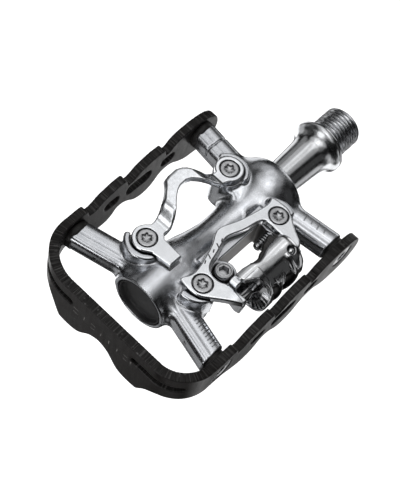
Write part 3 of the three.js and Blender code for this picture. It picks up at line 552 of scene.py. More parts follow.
TOP = [(-18.95, 0.4), (-19.6, 2.4), (-20.6, 4.1), (-22.2, 5.8), (-24.5, 7.3), (-27.5, 8.2), (-31.5, 8.6), (-36.1, 8.4), (-39.2, 7.8), (-41.2, 6.9), (-42.4, 5.6), (-43.4, 5.0), (-44.5, 5.0), (-45.0, 5.3), (-45.6, 8.1), (-46.6, 8.5), (-50.5, 8.6), (-54.2, 7.8),
       (-56.8, 6.9), (-58.6, 5.5), (-60.0, 4.9), (-61.4, 4.9), (-62.0, 5.3), (-62.6, 8.2), (-63.6, 8.6), (-66, 8.6), (-69.3, 7.9), (-72.5, 7.1), (-75.0, 5.5), (-76.4, 4.9), (-77.9, 4.9), (-78.5, 5.3), (-79.2, 8.0), (-80.2, 8.3), (-82.5, 8.3), (-86, 8.1), (-90, 8.8), (-93.5, 9.8), (-97, 10.6), (-99.5, 10.75)]
BOT = [(-18.8, -1.6), (-19.3, -4.2), (-20.9, -6.6), (-23.4, -8.1), (-27.3, -8.7), (-33.5, -8.2), (-37.4, -6.2), (-40.6, -3.9), (-43.4, -3.4), (-46.2, -4.2), (-48.9, -7.6), (-51.5, -9.0), (-54.5, -9.3), (-57.6, -8.2), (-60.5, -5.6),
       (-63.2, -4.2), (-65.6, -4.4), (-67.6, -7.2), (-70.2, -8.5), (-74.2, -8.4), (-78.5, -6.4), (-83, -3.6), (-88.5, -2.2), (-94, -1.8)]
ENDB = [(24.0, -2.2), (21.2, -3.5), (18.9, -5.6), (17.2, -8.2), (16.2, -9.7), (14.5, -10.0), (11.5, -10.1), (9.0, -9.6), (7.2, -8.4), (5.4, -6.2), (3.6, -4.2), (1.4, -3.1), (0, -2.9)]
ENDB = ENDB + [(-a, b) for a, b in ENDB[-2::-1]]
top = [(s_front(x), z) for x, z in TOP] + [(S1, 10.72), (SB, 10.72)] + [(s_rear(x), z) for x, z in TOP[::-1]]
bot = [(s_front(x), z) for x, z in BOT] + [(s_end(y), z) for y, z in ENDB if s_front(-94) + 0.4 < s_end(y) < s_rear(-94) - 0.4] + [(s_rear(x), z) for x, z in BOT[::-1]]
tops, topz = np.array(top).T
outline = bot + top[::-1]
def stadium(cx, cy, L, W, n=10):
    d = L / 2 - W / 2
    return arc(cx + d, cy, W / 2, -90, 90, n) + arc(cx - d, cy, W / 2, 90, 270, n)
holes = []
for x, z, L, W in [(-68.5, 1.2, 6.4, 4.2), (-56.5, 0.9, 11.4, 5.2), (-43.4, 1.1, 6.4, 4.2)]:
    holes += [stadium(s_front(x), z, L, W), stadium(s_rear(x), z, L, W)]
fs0, fs1 = S1 - CAGE_RF * math.radians(74), s_end(11.4)
rs0, rs1 = s_end(-12.0), SB + CAGE_RR * math.radians(52)
holes += [stadium((fs0 + fs1) / 2, 4.7, fs1 - fs0, 3.0), stadium((rs0 + rs1) / 2, 4.7, rs1 - rs0, 3.0)]
strip = Poly([chaikin(outline, 1, 0.22)], holes, h=0.14, pad=2.5, blend=0.2)
teeth_s = np.linspace(-5, SE + 5, 9000)
ph = teeth_s / 1.12 + 0.35 * np.sin(teeth_s * 0.71) + 0.2 * np.sin(teeth_s * 1.93 + 1)
depth = 0.55 + 0.45 * np.sin(teeth_s * 0.9 + 2 * np.sin(teeth_s * 0.37))
teeth_d = 0.17 * (np.abs(np.mod(ph, 1) - 0.5) * 2) ** 1.5 * np.clip(depth, 0.25, 1)
screws_s = [(s_front(ARM_OUT), 1.0), (s_front(ARM_IN), 1.0), (s_rear(ARM_IN), 1.0), (s_rear(ARM_OUT), 1.0)]
def f_cage(s, t, z):
    d2 = strip(s, z)
    zt = np.interp(s, tops, topz)
    cut = np.interp(s + 0.22 * (t - 1.5), teeth_s, teeth_d)
    near = np.clip((z - zt + 1.1) / 0.7, 0, 1)
    d2 = d2 + cut * near
    w = np.abs(t - CAGE_T / 2) - CAGE_T / 2
    d = plate(d2, w, 0.32)
    for s0, _ in screws_s:
        q = polar(s - s0, z - ARM_Z) - np.clip(4.32 - (t - 0.15) * 0.95, 2.4, 4.5)
        d = smax(d, -q, 0.2)
    return d
P, F, N = surface(f_cage, (-1.2, -0.6, -11.2), (SE + 1.2, CAGE_T + 0.6, 12.0), (0.32 * H, 0.25 * H, 0.3 * H))
def bend_map(P):
    s, t, z = P.T
    x = np.empty_like(s); y = np.empty_like(s)
    cf, cr = CAGE_OUT + CAGE_RF, CAGE_OUT + CAGE_RR
    m = s < SA; x[m] = CAGE_IN - s[m]; y[m] = CAGE_HALF - t[m]
    m = (s >= SA) & (s < S1); a = (s[m] - SA) / CAGE_RF; R = CAGE_RF - t[m]; x[m] = cf - R * np.sin(a); y[m] = (CAGE_HALF - CAGE_RF) + R * np.cos(a)
    m = (s >= S1) & (s < SB); x[m] = CAGE_OUT + t[m]; y[m] = (CAGE_HALF - CAGE_RF) - (s[m] - S1)
    m = (s >= SB) & (s < S2); a = (s[m] - SB) / CAGE_RR; R = CAGE_RR - t[m]; x[m] = cr - R * np.cos(a); y[m] = -(CAGE_HALF - CAGE_RR) - R * np.sin(a)
    m = s >= S2; x[m] = cr + (s[m] - S2); y[m] = -CAGE_HALF + t[m]
    return np.stack([x, y, z], 1)
cage = mesh_object("cage_strip", bend_map(P), F)
at_ = cage.data.attributes.new("strip", "FLOAT_VECTOR", "POINT"); at_.data.foreach_set("vector", P.astype(np.float32).ravel())
fix_normals(cage)
edge_split(cage, 60)
put(cage, "pedal", "cage_black", "cage_plate")

# plain engraved index marks: short grey strokes inlaid in the end plate, dark ones stamped in the rear plate
def inlay(name, quads, to3, thick):
    """thin rounded pads: quads are (u, v, half length, half width, turn); to3 maps (u, v, height) to a point"""
    V, F = [], []
    for u, v, a, b, t in quads:
        c, s_ = math.cos(t), math.sin(t)
        ring = []
        for cx, cy, a0 in ((a - 0.08, b - 0.08, 0), (-a + 0.08, b - 0.08, 90), (-a + 0.08, -b + 0.08, 180), (a - 0.08, -b + 0.08, 270)):
            for q in (0, 30, 60, 90):
                g = math.radians(a0 + q); ring.append((cx + 0.08 * math.cos(g), cy + 0.08 * math.sin(g)))
        n = len(ring); o = len(V)
        for h in (-thick, thick * 0.6, thick):
            k_ = 1.0 if h < thick else 0.0
            for x_, y_ in ring:
                xx, yy = x_ - (1 - k_) * 0.03 * np.sign(x_), y_ - (1 - k_) * 0.03 * np.sign(y_)
                V.append(to3(u + xx * c - yy * s_, v + xx * s_ + yy * c, h))
        for lay in range(2):
            for q in range(n):
                w_ = (q + 1) % n
                F.append((o + lay * n + q, o + lay * n + w_, o + (lay + 1) * n + w_, o + (lay + 1) * n + q))
        F.append(tuple(o + q for q in range(n))[::-1]); F.append(tuple(o + 2 * n + q for q in range(n)))
    ob = mesh_object(name, V, F); fix_normals(ob); edge_split(ob, 40)
    return ob
quads = []
for k, yc in enumerate((9.9, 6.4, 2.9, -0.4, -3.6, -6.9, -10.2, -12.4)):
    hw = (1.0, 0.28, 0.85, 0.28, 0.3, 0.28, 0.75, 0.3)[k]
    for dz, hh in ((1.15, 0.1), (-1.15, 0.1)) if hw > 0.5 else ((0, 1.0),):
        quads.append((yc, 2.35 - 0.02 * k + dz, hw, hh, 0.0) if hw > 0.5 else (yc, 2.35 + dz, 0.13, 0.85, 0.0))
ticks = put(inlay("end_plate_index_marks", quads, lambda u, v, h: (CAGE_OUT - h, u, v), 0.035), "pedal", "cage_black")
quads = [(-67.6 + 2.3 * k, -7.15 + 0.42 * k, 0.8 if k % 2 else 0.6, 0.19, 1.15 if k % 2 else 0.5) for k in range(5)]
plate_ticks = put(inlay("rear_plate_tension_marks", quads, lambda u, v, h: (u, v, PLATE_Z1 + h), 0.03), "pedal", "plate_chrome")

# ------------------------------------------------------------------ screws
def cage_screw(name, x, s, turn):
    rows = [(18, 0.0), (18, 1.9), (18.3, 2.1), (29.6, 2.1), (31.3, 3.82), (31.62, 3.98), (31.72, 3.9), (31.76, 3.7), (31.78, 2.1), (31.7, hexagon(1.95, turn)), (31.2, hexagon(1.72, turn)), (30.3, hexagon(1.7, turn)), (29.9, 0.6), (29.7, 0.0)]
    return put(revolve("turned_" + name, [(s * a, r) for a, r in rows], 72, "Y", (x, ARM_Z), 35), "pedal", "screw_steel", name)
csc = [cage_screw("cage_screw_front_outer", ARM_OUT, 1, 0.2), cage_screw("cage_screw_front_inner", ARM_IN, 1, 0.6), cage_screw("cage_screw_rear_outer", ARM_OUT, -1, 0.1), cage_screw("cage_screw_rear_inner", ARM_IN, -1, 0.45)]
def plate_screw(name, at, turn):
    z = PLATE_Z1
    rows = [(0, 0.0), (0, 1.5), (0.3, SCREW_R_), (PLATE_Z0 + 1.1, SCREW_R_), (PLATE_Z0 + 1.15, 2.85), (PLATE_Z0 + 1.3, 2.95), (z - 0.3, 2.95), (z - 0.1, 2.88), (z - 0.02, 2.72), (z, 2.5), (z, 2.2), (z - 0.03, lobes(1.62, 0.2, turn)),
            (z - 0.14, lobes(1.47, 0.24, turn)), (z - 0.85, lobes(1.4, 0.25, turn)), (z - 1.0, lobes(1.0, 0.12, turn)), (z - 1.1, 0.4), (z - 1.12, 0.0)]
    return put(revolve("turned_" + name, rows, 96, "Z", at, 34), "pedal", "screw_steel", name)
SCREW_R_ = 1.8
psc = [plate_screw("front_hoop_screw_outer", F1, 0.3), plate_screw("front_hoop_screw_inner", F2, 0.0), plate_screw("rear_plate_screw_outer", R1, 0.45), plate_screw("rear_plate_screw_inner", R2, 0.15)]
z1 = 11.4
rows = [(-2.8, 0.0), (-2.8, 1.2), (-2.5, 1.5), (6.4, 1.5), (6.4, 2.6), (6.6, 2.75), (10.9, 2.75), (11.2, 2.68), (z1, 2.5), (z1, 2.28), (z1 - 0.3, 2.14), (z1 - 0.34, 1.95), (z1 - 0.3, hexagon(1.78, 0.3)), (z1 - 0.5, hexagon(1.7, 0.3)), (9.0, hexagon(1.68, 0.3)), (8.9, 0.5), (8.85, 0.0)]
tension = put(revolve("tension_screw_turned", rows, 84, "Z", TENSION, 34), "tension_screw", "screw_steel", "tension_screw")
rows = [(-68.0, 0.0), (-68.0, PIN_R - 0.3), (-67.7, PIN_R), (-41.5, PIN_R), (-41.1, 1.82), (-40.85, 1.5), (-40.78, 1.1), (-40.9, 0.5), (-40.95, 0.0)]
pin = put(revolve("pivot_pin_ground", rows, 48, "X", (PIVOT_Y, PIVOT_Z), 40), "pedal", "bearing_steel", "claw_pivot_pin")

# ------------------------------------------------------------------ steel hoop
ZA = 16.6
T2 = (PLATE_Z1 - PLATE_Z0) / 2
hoop_poly = Poly([HOOP_LUG_OUT, HOOP_LUG_IN,
                  [(-68.6, 7.6), (-68.6, 12.3), (-66.0, 13.4), (-62.9, 15.1), (-60.3, 17.1), (-58.4, 19.2), (-56.0, 19.7), (-52.4, 19.85), (-50.6, 19.1), (-49.4, 18.0), (-47.3, 15.2), (-45.6, 13.4), (-43.2, 12.4), (-43.2, 7.7),
                   (-45.4, 8.4), (-47.3, 9.4), (-48.9, 11.0), (-50.1, 12.7), (-51.4, 14.1), (-53.1, 14.85), (-55.9, 14.7), (-57.4, 14.1), (-58.8, 13.2), (-60.7, 11.7), (-62.4, 10.1), (-64.6, 8.3), (-66.5, 7.4)]],
                 h=0.08, blend=0.7)
def hoop_z(x, y):
    """height of the middle of the sheet"""
    up = np.clip((x + 68.4) / 5.6, 0, 1) * np.clip((-43.3 - x) / 6.2, 0, 1)
    a = np.clip((x + 68.4) / 5.6, 0, 1); b = np.clip((-43.3 - x) / 6.0, 0, 1)
    a = a - np.sin(2 * np.pi * a) / (2 * np.pi) * 0.55; b = b - np.sin(2 * np.pi * b) / (2 * np.pi) * 0.55
    h = (ZA - PLATE_Z1) * np.minimum(a, b)
    tilt = np.clip((y - 11) / 8, 0, 1) * 0.5 * np.clip(h / 4.2, 0, 1)      # the bridge leans down to the toe a little
    return (PLATE_Z0 + PLATE_Z1) / 2 + h - tilt
def f_hoop(x, y, z):
    d2 = hoop_poly(x, y)
    w = np.abs(z - hoop_z(x, y)) - T2
    rho = polar(x + 55.2, (y - 8.6) * 0.93)
    r = 0.42 + 0.72 * np.clip((hoop_z(x, y) - 11.7) / 1.5, 0, 1) * np.clip((rho - 7.6) / 1.4, 0, 1)
    d = plate(d2, w, r)
    for at in (F1, F2):
        q = polar(x - at[0], y - at[1])
        d = smax(d, -np.maximum(q - 3.22, PLATE_Z0 + 1.0 - z), 0.25)
    return d
P, F, N = surface(f_hoop, (-80.5, -2, 9.3), (-31.8, 20.6, 17.3), 0.2 * H)
hoop = put(mesh_object("hoop_bent", P, F, N), "pedal", "plate_chrome", "front_hoop")

# ------------------------------------------------------------------ rear plate and its ears
def smooth_loop(pts, sig, step=0.15):
    """a closed outline resampled and rounded"""
    p = np.array(pts, float); q = np.vstack([p, p[:1]])
    L = np.r_[0, np.cumsum(np.linalg.norm(np.diff(q, axis=0), axis=1))]
    n = int(L[-1] / step); t = np.arange(n) * L[-1] / n
    X = np.stack([np.interp(t, L, q[:, 0]), np.interp(t, L, q[:, 1])], 1)
    w = max(1, int(3 * sig / step)); k = np.exp(-0.5 * (np.arange(-w, w + 1) * step / sig) ** 2); k /= k.sum()
    Xp = np.vstack([X[-w:], X, X[:w]])
    return np.stack([np.convolve(Xp[:, i], k, mode="valid") for i in (0, 1)], 1)
ear_poly = Poly([smooth_loop([(-18.3, 10.9), (-18.3, 6.2), (-19.4, 4.9), (-21.9, 3.8), (-23.7, 4.6), (-23.9, 8.0), (-23.5, 10.9)], 0.28)], h=0.07)
def f_rear(x, y, z):
    d2 = rear_poly(x, y)
    drop = 0.35 * np.clip((-19.2 - y) / 4.0, 0, 1) ** 2
    w = np.abs(z + drop - (PLATE_Z0 + PLATE_Z1) / 2) - T2
    d = plate(d2, w, 0.5)
    for at in (R1, R2):
        q = polar(x - at[0], y - at[1])
        d = smax(d, -np.maximum(q - 3.22, PLATE_Z0 + 1.0 - z), 0.25)
    # outer ear: a flat pointed tab with a blind pin hole; inner ear: a round one, drilled through
    e2 = ear_poly(y + 0 * x, z + 0 * x)
    d = smin(d, plate(e2, np.abs(x + 67.85) - 0.95, 0.22), 0.35)
    wx = np.abs(x + 42.7) - 0.7
    e2 = polar(y - PIVOT_Y, z - PIVOT_Z) - 3.5
    col = np.maximum(np.abs(y - (PIVOT_Y + 0.4)) - 2.9, np.maximum(z - (PLATE_Z0 + 1.2), PIVOT_Z - z))
    d = smin(d, plate(smin(e2, col, 0.8), wx, 0.35), 0.7)
    q = np.maximum(polar(y - PIVOT_Y, z - PIVOT_Z) - (PIN_R + 0.12), -68.1 - x)
    return smax(d, -q, 0.15)
P, F, N = surface(f_rear, (-78.6, -26, 2.6), (-33.6, -0.8, 13.2), 0.22 * H)
rear = put(mesh_object("rear_plate_stamped", P, F, N), "pedal", "plate_chrome", "rear_plate")

# ------------------------------------------------------------------ rear claw: a waisted hood, open at its outer end
OUT = [(-15.4, 13.0), (-15.7, 14.7), (-17.2, 15.9), (-19.6, 16.15), (-22.2, 15.6), (-24.5, 14.1), (-26.4, 11.9), (-27.9, 9.2), (-28.5, 6.1), (-27.7, 2.7), (-25.8, 0.4), (-23.2, -0.2), (-20.2, 0.8), (-17.8, 3.4), (-16.6, 8.0)]
OUT = [tuple(v) for v in smooth_loop(OUT, 1.15)[::3]]
out_poly = Poly([OUT], h=0.07, blend=0.25)
o_top = max(range(len(OUT)), key=lambda k: OUT[k][1]); o_low = min(range(len(OUT)), key=lambda k: OUT[k][1])
o_top = (o_top - int(4.2 / 0.45)) % len(OUT); o_low = (o_low + int(4.6 / 0.45)) % len(OUT)
SHELL = [OUT[(o_top + k) % len(OUT)] for k in range((o_low - o_top) % len(OUT) + 1)] + [(-18.3, 3.3), (-18.8, 4.7), (-20.6, 2.9), (-22.9, 2.1), (-24.6, 2.5), (-25.8, 4.0), (-26.3, 6.3), (-25.8, 8.6), (-24.5, 10.8), (-22.6, 12.7), (-20.4, 14.1), (-18.4, 14.4), (-17.0, 13.6)]
shell_poly = Poly([smooth_loop(SHELL, 0.45)], h=0.07, blend=0.3)
kx, kk = smooth_table([(-68, 0.985), (-62.0, 0.99), (-59.0, 0.985), (-56.0, 0.955), (-52.0, 0.935), (-49.0, 0.94), (-46.6, 0.955), (-45.6, 0.962), (-44.9, 0.94), (-44.1, 0.89), (-43.6, 0.85), (-42, 0.8)], 1.2, -68, -42)
fx, fy = smooth_table([(-68, -16.0), (-62.0, -16.2), (-59.7, -17.0), (-57.9, -18.2), (-56.5, -18.45), (-54.5, -18.0), (-52.0, -16.9), (-49.7, -15.9), (-47.0, -15.2), (-42, -15.0)], 1.2, -68, -42)
zx, zc = smooth_table([(-68, -6), (-59.15, -6), (-58.85, 12.2), (-57.2, 12.4), (-56.8, 12.1), (-55.4, 9.35), (-54.3, 9.2), (-53.9, 9.6), (-52.5, 11.7), (-50.1, 11.9), (-49.2, 10.0), (-48.2, 7.6), (-46.6, 7.0), (-45.6, 6.4), (-45.2, -6), (-42, -6)], 0.16, -68, -42, 2600)
TH = [-180, -150, -128, -77, -27, 8, 27, 51, 68.5, 84, 92, 100.5, 108, 180]
XE = [-65.4, -64.4, -63.3, -62.6, -62.2, -61.2, -60.0, -59.75, -60.2, -61.2, -62.6, -65.1, -65.7, -65.7]
def f_claw(x, y, z):
    k = np.interp(x, kx, kk)
    yy = (y - PIVOT_Y) / k + PIVOT_Y; zz = (z - PIVOT_Z) / k + PIVOT_Z
    d2 = shell_poly(yy, zz) * k
    th = np.degrees(np.arctan2(z - 7.0, -(y + 21.4) + 0 * z))
    xe = np.interp(th, TH, XE)
    w = np.maximum((xe - x) * 0.93, x - CLAW_X1)
    bead = 0.5 * np.exp(-((x + 48.7) / 0.6) ** 2) * np.clip((-21.8 - y) / 1.5, 0, 1)
    zcx = np.interp(x, zx, zc)
    edge = 0.3 * np.exp(-((z - zcx - 0.3) / 0.55) ** 2) * np.clip((-23 - y) / 1.5, 0, 1) * np.clip((x + 59.2) / 0.3, 0, 1)
    d = plate(d2 - bead - edge, w, 0.42)
    lip = np.maximum(y - np.interp(x, fx, fy), 9.5 - z)
    d = smax(d, lip, 0.8)
    cut = np.maximum(np.maximum(z - zcx, y + 20.5 + 0 * z), np.abs(x + 52.1) - 6.85)
    low = np.maximum(z - 4.6, np.abs(x + 52.1) - 6.85)
    d = smax(d, -smin(cut, low, 0.3), 0.3)
    dO = out_poly(yy, zz) * k
    thr = np.radians(th)
    rib = 0.62
    ring = plate(np.maximum(dO, -(dO + rib)), np.maximum(xe - x, x + 58.95), 0.22)
    ring = smax(ring, np.maximum(z - 11.2, y * 0 - 10) * (y > -19.5) - 50.0 * (y <= -19.5), 0.1)
    d = smin(d, ring, 0.3)
    # a fan of short ribs inside the open end
    ra = polar(y + 21.4, z - 7.0)
    fan = np.abs(np.mod(th + 80, 15) - 7.5) * ra * math.pi / 180 - 0.4
    fan = np.maximum(np.maximum(fan, np.maximum(dO + 0.3, -(dO + 3.4))), np.maximum(x + 59.0, xe + 0.7 - x))
    fan = np.where((th > -80) & (th < 10), fan, 1.0)
    d = smin(d, fan, 0.25)
    for x0, x1, off in ((-59.9, -58.95, 0.8), (CLAW_X1 - 1.15, CLAW_X1, 0.3)):
        d = smin(d, plate(dO + off, np.abs(x - (x0 + x1) / 2) - (x1 - x0) / 2, 0.3), 0.5)
    d = smax(d, -(polar(x + 46.5, y + 22.2, z - 14.6) - 1.45), 0.3)
    q = polar(y - PIVOT_Y, z - PIVOT_Z) - (PIN_R + 0.1)
    return smax(d, -q, 0.15)
P, F, N = surface(f_claw, (-66.6, -29.4, -0.9), (-42.6, -14.2, 16.9), 0.2 * H)
claw = put(mesh_object("claw_hood", P, F, N), "claw", "plate_chrome", "rear_claw")
def f_lobes(x, y, z):
    dO = out_poly(y, z)
    d = None
    for xc, hw in ((-56.2, 2.55), (-49.5, 3.6)):
        lx = np.abs(x - xc) - hw
        bul = 0.75 * (1 - np.clip((x - xc) / hw, -1, 1) ** 2)
        rg = np.abs(dO + 1.35 - bul) - 0.55
        a = plate(rg, lx, 0.5)
        d = a if d is None else np.minimum(d, a)
    d = smax(d, y + 23.4, 0.5)
    d = smax(d, z - 11.3, 0.6)
    # scalloped front lip under the hood: a dark piece standing in for the shade along the hood's front edge
    fyx = np.interp(x, fx, fy)
    sc = 0.22 * np.abs(np.sin((x + 60) * 0.86)) + 0.12 * np.sin((x + 60) * 2.3)
    lip = rbox(x, y - fyx - sc, z, -58.7, -46.4, -1.9, 1.15, 12.0, 13.9, 0.6)
    return smin(d, lip, 0.2)
P, F, N = surface(f_lobes, (-61.4, -28.9, -0.2), (-44.8, -13.8, 14.4), 0.24 * H)
lobes_ob = put(mesh_object("claw_inner_cams", P, F, N), "claw", "spring_steel")
rows = [(0.0, 0.0), (0.0, 0.9), (0.35, 1.05), (1.0, 1.05), (1.35, 0.85), (1.6, 0.45), (1.68, 0.0)]
rivet = put(revolve("claw_rivet", [(13.15 + a, r) for a, r in rows], 40, "Z", (-46.5, -22.2), 40), "claw", "plate_chrome")
def f_block(x, y, z):
    d = rbox(x, y, z, -67.65, -65.2, -19.3, -16.35, 11.6, 14.75, 0.42)
    d = smin(d, rbox(x, y, z, -66.2, -64.9, -18.9, -16.6, 11.2, 13.4, 0.4), 0.3)
    return smax(d, -(x + 67.35 - 0.35 * (z - 14.4)) * 0.94 - 0.3, 0.4)
P, F, N = surface(f_block, (-68.4, -20.0, 10.5), (-64.2, -15.7, 15.4), 0.17 * H)
block = put(mesh_object("claw_block", P, F, N), "claw", "plate_chrome", "claw_end_block")
rows = [(-43.6, 0.0), (-43.6, 1.35)]
for k in range(5):
    c = -44.2 - k * 0.95
    rows += [(c, 1.25), (c - 0.1, 1.65), (c - 0.5, 1.68), (c - 0.6, 1.25)]
rows += [(-48.9, 1.0), (-49.2, 1.3), (-49.7, 1.4), (-50.1, 1.2), (-50.45, 0.7), (-50.55, 0.0)]
peg = put(revolve("spring_stop_peg", rows, 40, "X", (-13.1, 8.1), 40), "pedal", "spring_steel")

# ------------------------------------------------------------------ torsion springs
def helix(x0, turns, pitch, R, start, sign, n=26):
    out = []
    m = int(n * turns)
    for k in range(m + 1):
        a = start + sign * 2 * math.pi * turns * k / m
        out.append((x0 + pitch * turns * k / m, PIVOT_Y + R * math.cos(a), PIVOT_Z + R * math.sin(a)))
    return out
sp1 = put(tube("spring_coil_outer", helix(-57.4, 2.75, 2.1, 3.7, -0.4, 1), 0.88, 14), "pedal", "spring_steel", "claw_spring_outer")
sp2 = put(tube("spring_coil_inner", helix(-50.1, 2.0, 2.1, 3.7, -0.4, -1), 0.88, 14), "pedal", "spring_steel", "claw_spring_inner")

# ------------------------------------------------------------------ remaining small pieces keep their CAD shape
def ring_piece(name, rows, sharp=34, n=96):
    return revolve(name, rows, n, "X", (0.0, 0.0), sharp)

# ------------------------------------------------------------------ materials
class Mat:
    def __init__(self, name, metallic, **sock):
        self.m = bpy.data.materials.new(name); self.m.use_nodes = True
        self.nt = self.m.node_tree; self.b = self.nt.nodes["Principled BSDF"]
        self.b.inputs["Metallic"].default_value = metallic
        for k, v in sock.items():
            self.b.inputs[k.replace("_", " ")].default_value = v
        self.tc = self.add("ShaderNodeTexCoord"); self.last = None; self.col = None
    def add(self, kind, **p):
        n = self.nt.nodes.new(kind)
        for k, v in p.items():
            setattr(n, k, v)
        return n
    def link(self, a, b):
        self.nt.links.new(a, b)
    def noise(self, scale, detail=3.0, stretch=(1, 1, 1), rough=0.55, off=(0, 0, 0), dist=0.0):
        mp = self.add("ShaderNodeMapping"); mp.inputs["Scale"].default_value = stretch; mp.inputs["Location"].default_value = off
        self.link(self.tc.outputs["Object"], mp.inputs["Vector"])
        n = self.add("ShaderNodeTexNoise"); n.inputs["Scale"].default_value = scale; n.inputs["Detail"].default_value = detail; n.inputs["Roughness"].default_value = rough
        n.inputs["Distortion"].default_value = dist
        self.link(mp.outputs[0], n.inputs["Vector"])
        return n.outputs["Fac"]
    def ramp(self, src, a, b, lo, hi):
        r = self.add("ShaderNodeMapRange"); r.inputs["From Min"].default_value = a; r.inputs["From Max"].default_value = b
        r.inputs["To Min"].default_value = lo; r.inputs["To Max"].default_value = hi; r.clamp = True
        self.link(src, r.inputs["Value"])
        return r.outputs["Result"]
    def mix(self, fac, a, b):
        n = self.add("ShaderNodeMix", data_type="RGBA")
        self.link(fac, n.inputs[0])
        for s, v in ((6, a), (7, b)):
            if isinstance(v, tuple):
                n.inputs[s].default_value = (*v, 1)
            else:
                self.link(v, n.inputs[s])
        return n.outputs[2]
    def calc(self, op, a, b):
        n = self.add("ShaderNodeMath", operation=op)
        for s, v in ((0, a), (1, b)):
            if isinstance(v, (int, float)):
                n.inputs[s].default_value = v
            else:
                self.link(v, n.inputs[s])
        return n.outputs[0]
    def edge(self, lo, hi):
        g = self.add("ShaderNodeNewGeometry")
        return self.ramp(g.outputs["Pointiness"], lo, hi, 0, 1)
    # ambient occlusion as a 0 to 1 mask, 1 where shade falls; mixed into a base colour it paints shade into creases and
    # recesses
    def occlusion_mask(self, dist, lo=0.35, hi=0.95):
        a = self.add("ShaderNodeAmbientOcclusion"); a.inputs["Distance"].default_value = dist; a.samples = 6
        return self.ramp(a.outputs["AO"], lo, hi, 1, 0)
    def bump(self, src, dist, strength=1.0):
        n = self.add("ShaderNodeBump"); n.inputs["Distance"].default_value = dist; n.inputs["Strength"].default_value = strength
        self.link(src, n.inputs["Height"])
        if self.last is not None:
            self.link(self.last, n.inputs["Normal"])
        self.last = n.outputs["Normal"]
    def done(self, color, rough):
        self.link(color, self.b.inputs["Base Color"]); self.link(rough, self.b.inputs["Roughness"])
        if self.last is not None:
            self.link(self.last, self.b.inputs["Normal"])
        return self.m

def cast_alloy():
    m = Mat("cast_alloy_polished", 1.0)
    big = m.noise(160, 3); fine = m.noise(900, 5, rough=0.7); streak = m.noise(700, 3, (0.25, 1, 1))
    c = m.mix(m.ramp(big, 0.35, 0.65, 0, 1), (0.60, 0.615, 0.645), (0.70, 0.715, 0.745))
    c = m.mix(m.ramp(m.noise(1900, 2), 0.69, 0.77, 0, 0.16), c, (0.40, 0.41, 0.43))
    # painted shade: the alloy is darkened in creases and fillets by ambient occlusion
    c = m.mix(m.occlusion_mask(0.0022, 0.3, 0.85), c, (0.17, 0.168, 0.17))
    # the pocket under the rear plate is rougher than the polished outside, as cast; its darker colour is painted shade
    # under the plate
    sp = m.add("ShaderNodeSeparateXYZ"); m.link(m.tc.outputs["Object"], sp.inputs[0])
    px_, py_, pz_ = sp.outputs
    pocket = m.calc("MULTIPLY", m.calc("MULTIPLY", m.ramp(px_, -0.0690, -0.0675, 0, 1), m.ramp(px_, -0.0415, -0.0400, 1, 0)), m.calc("MULTIPLY", m.ramp(py_, -0.0083, -0.0074, 1, 0), m.ramp(pz_, 0.0088, 0.0094, 1, 0)))
    c = m.mix(m.calc("MULTIPLY", pocket, 0.9), c, (0.13, 0.122, 0.115))
    r = m.calc("ADD", m.ramp(fine, 0.3, 0.7, 0.20, 0.27), m.ramp(big, 0.4, 0.7, 0.0, 0.04))
    r = m.calc("ADD", r, m.calc("MULTIPLY", pocket, 0.22))
    r = m.calc("ADD", r, m.calc("MULTIPLY", m.occlusion_mask(0.0025, 0.3, 0.9), 0.18))
    m.bump(big, 0.000026); m.bump(streak, 0.000006); m.bump(fine, 0.000006)
    return m.done(c, r)

def chrome(name="chromed_steel", tint=(0.90, 0.92, 0.95), wave=0.00005, rough=(0.16, 0.24), deep=0.0012):
    m = Mat(name, 1.0)
    big = m.noise(260, 2); fine = m.noise(2600, 4, rough=0.7)
    c = m.mix(m.ramp(big, 0.35, 0.65, 0, 1), tuple(v * 0.93 for v in tint), tint)
    # painted shade: the chrome is darkened in recesses by ambient occlusion
    c = m.mix(m.occlusion_mask(deep, 0.25, 0.8), c, tuple(v * 0.26 for v in tint))
    c = m.mix(m.ramp(m.noise(3100, 2), 0.70, 0.76, 0, 0.5), c, tuple(v * 0.55 for v in tint))
    r = m.ramp(m.noise(700, 4), 0.3, 0.7, *rough)
    m.bump(big, wave); m.bump(fine, 0.000006)
    return m.done(c, r)

def turned(name, c0, c1, r0, r1, axis=0, ring=0.000012, scale=4200, dark=(0.0009, 0.3, 0.85, 0.3)):
    m = Mat(name, 1.0)
    st = [0.02, 0.02, 0.02]; st[axis] = 1.0
    rings = m.noise(scale, 3, tuple(st), 0.6); patch = m.noise(300, 3)
    c = m.mix(m.ramp(rings, 0.3, 0.7, 0, 1), c0, c1)
    # painted shade: darker in recesses by ambient occlusion; dark gives its distance, range and colour factor
    c = m.mix(m.occlusion_mask(*dark[:3]), c, tuple(v * dark[3] for v in c0))
    r = m.calc("ADD", m.ramp(patch, 0.35, 0.7, r0, r1), m.ramp(rings, 0.35, 0.65, 0.0, 0.04))
    m.bump(rings, ring); m.bump(m.noise(2500, 3), 0.000003)
    return m.done(c, r)

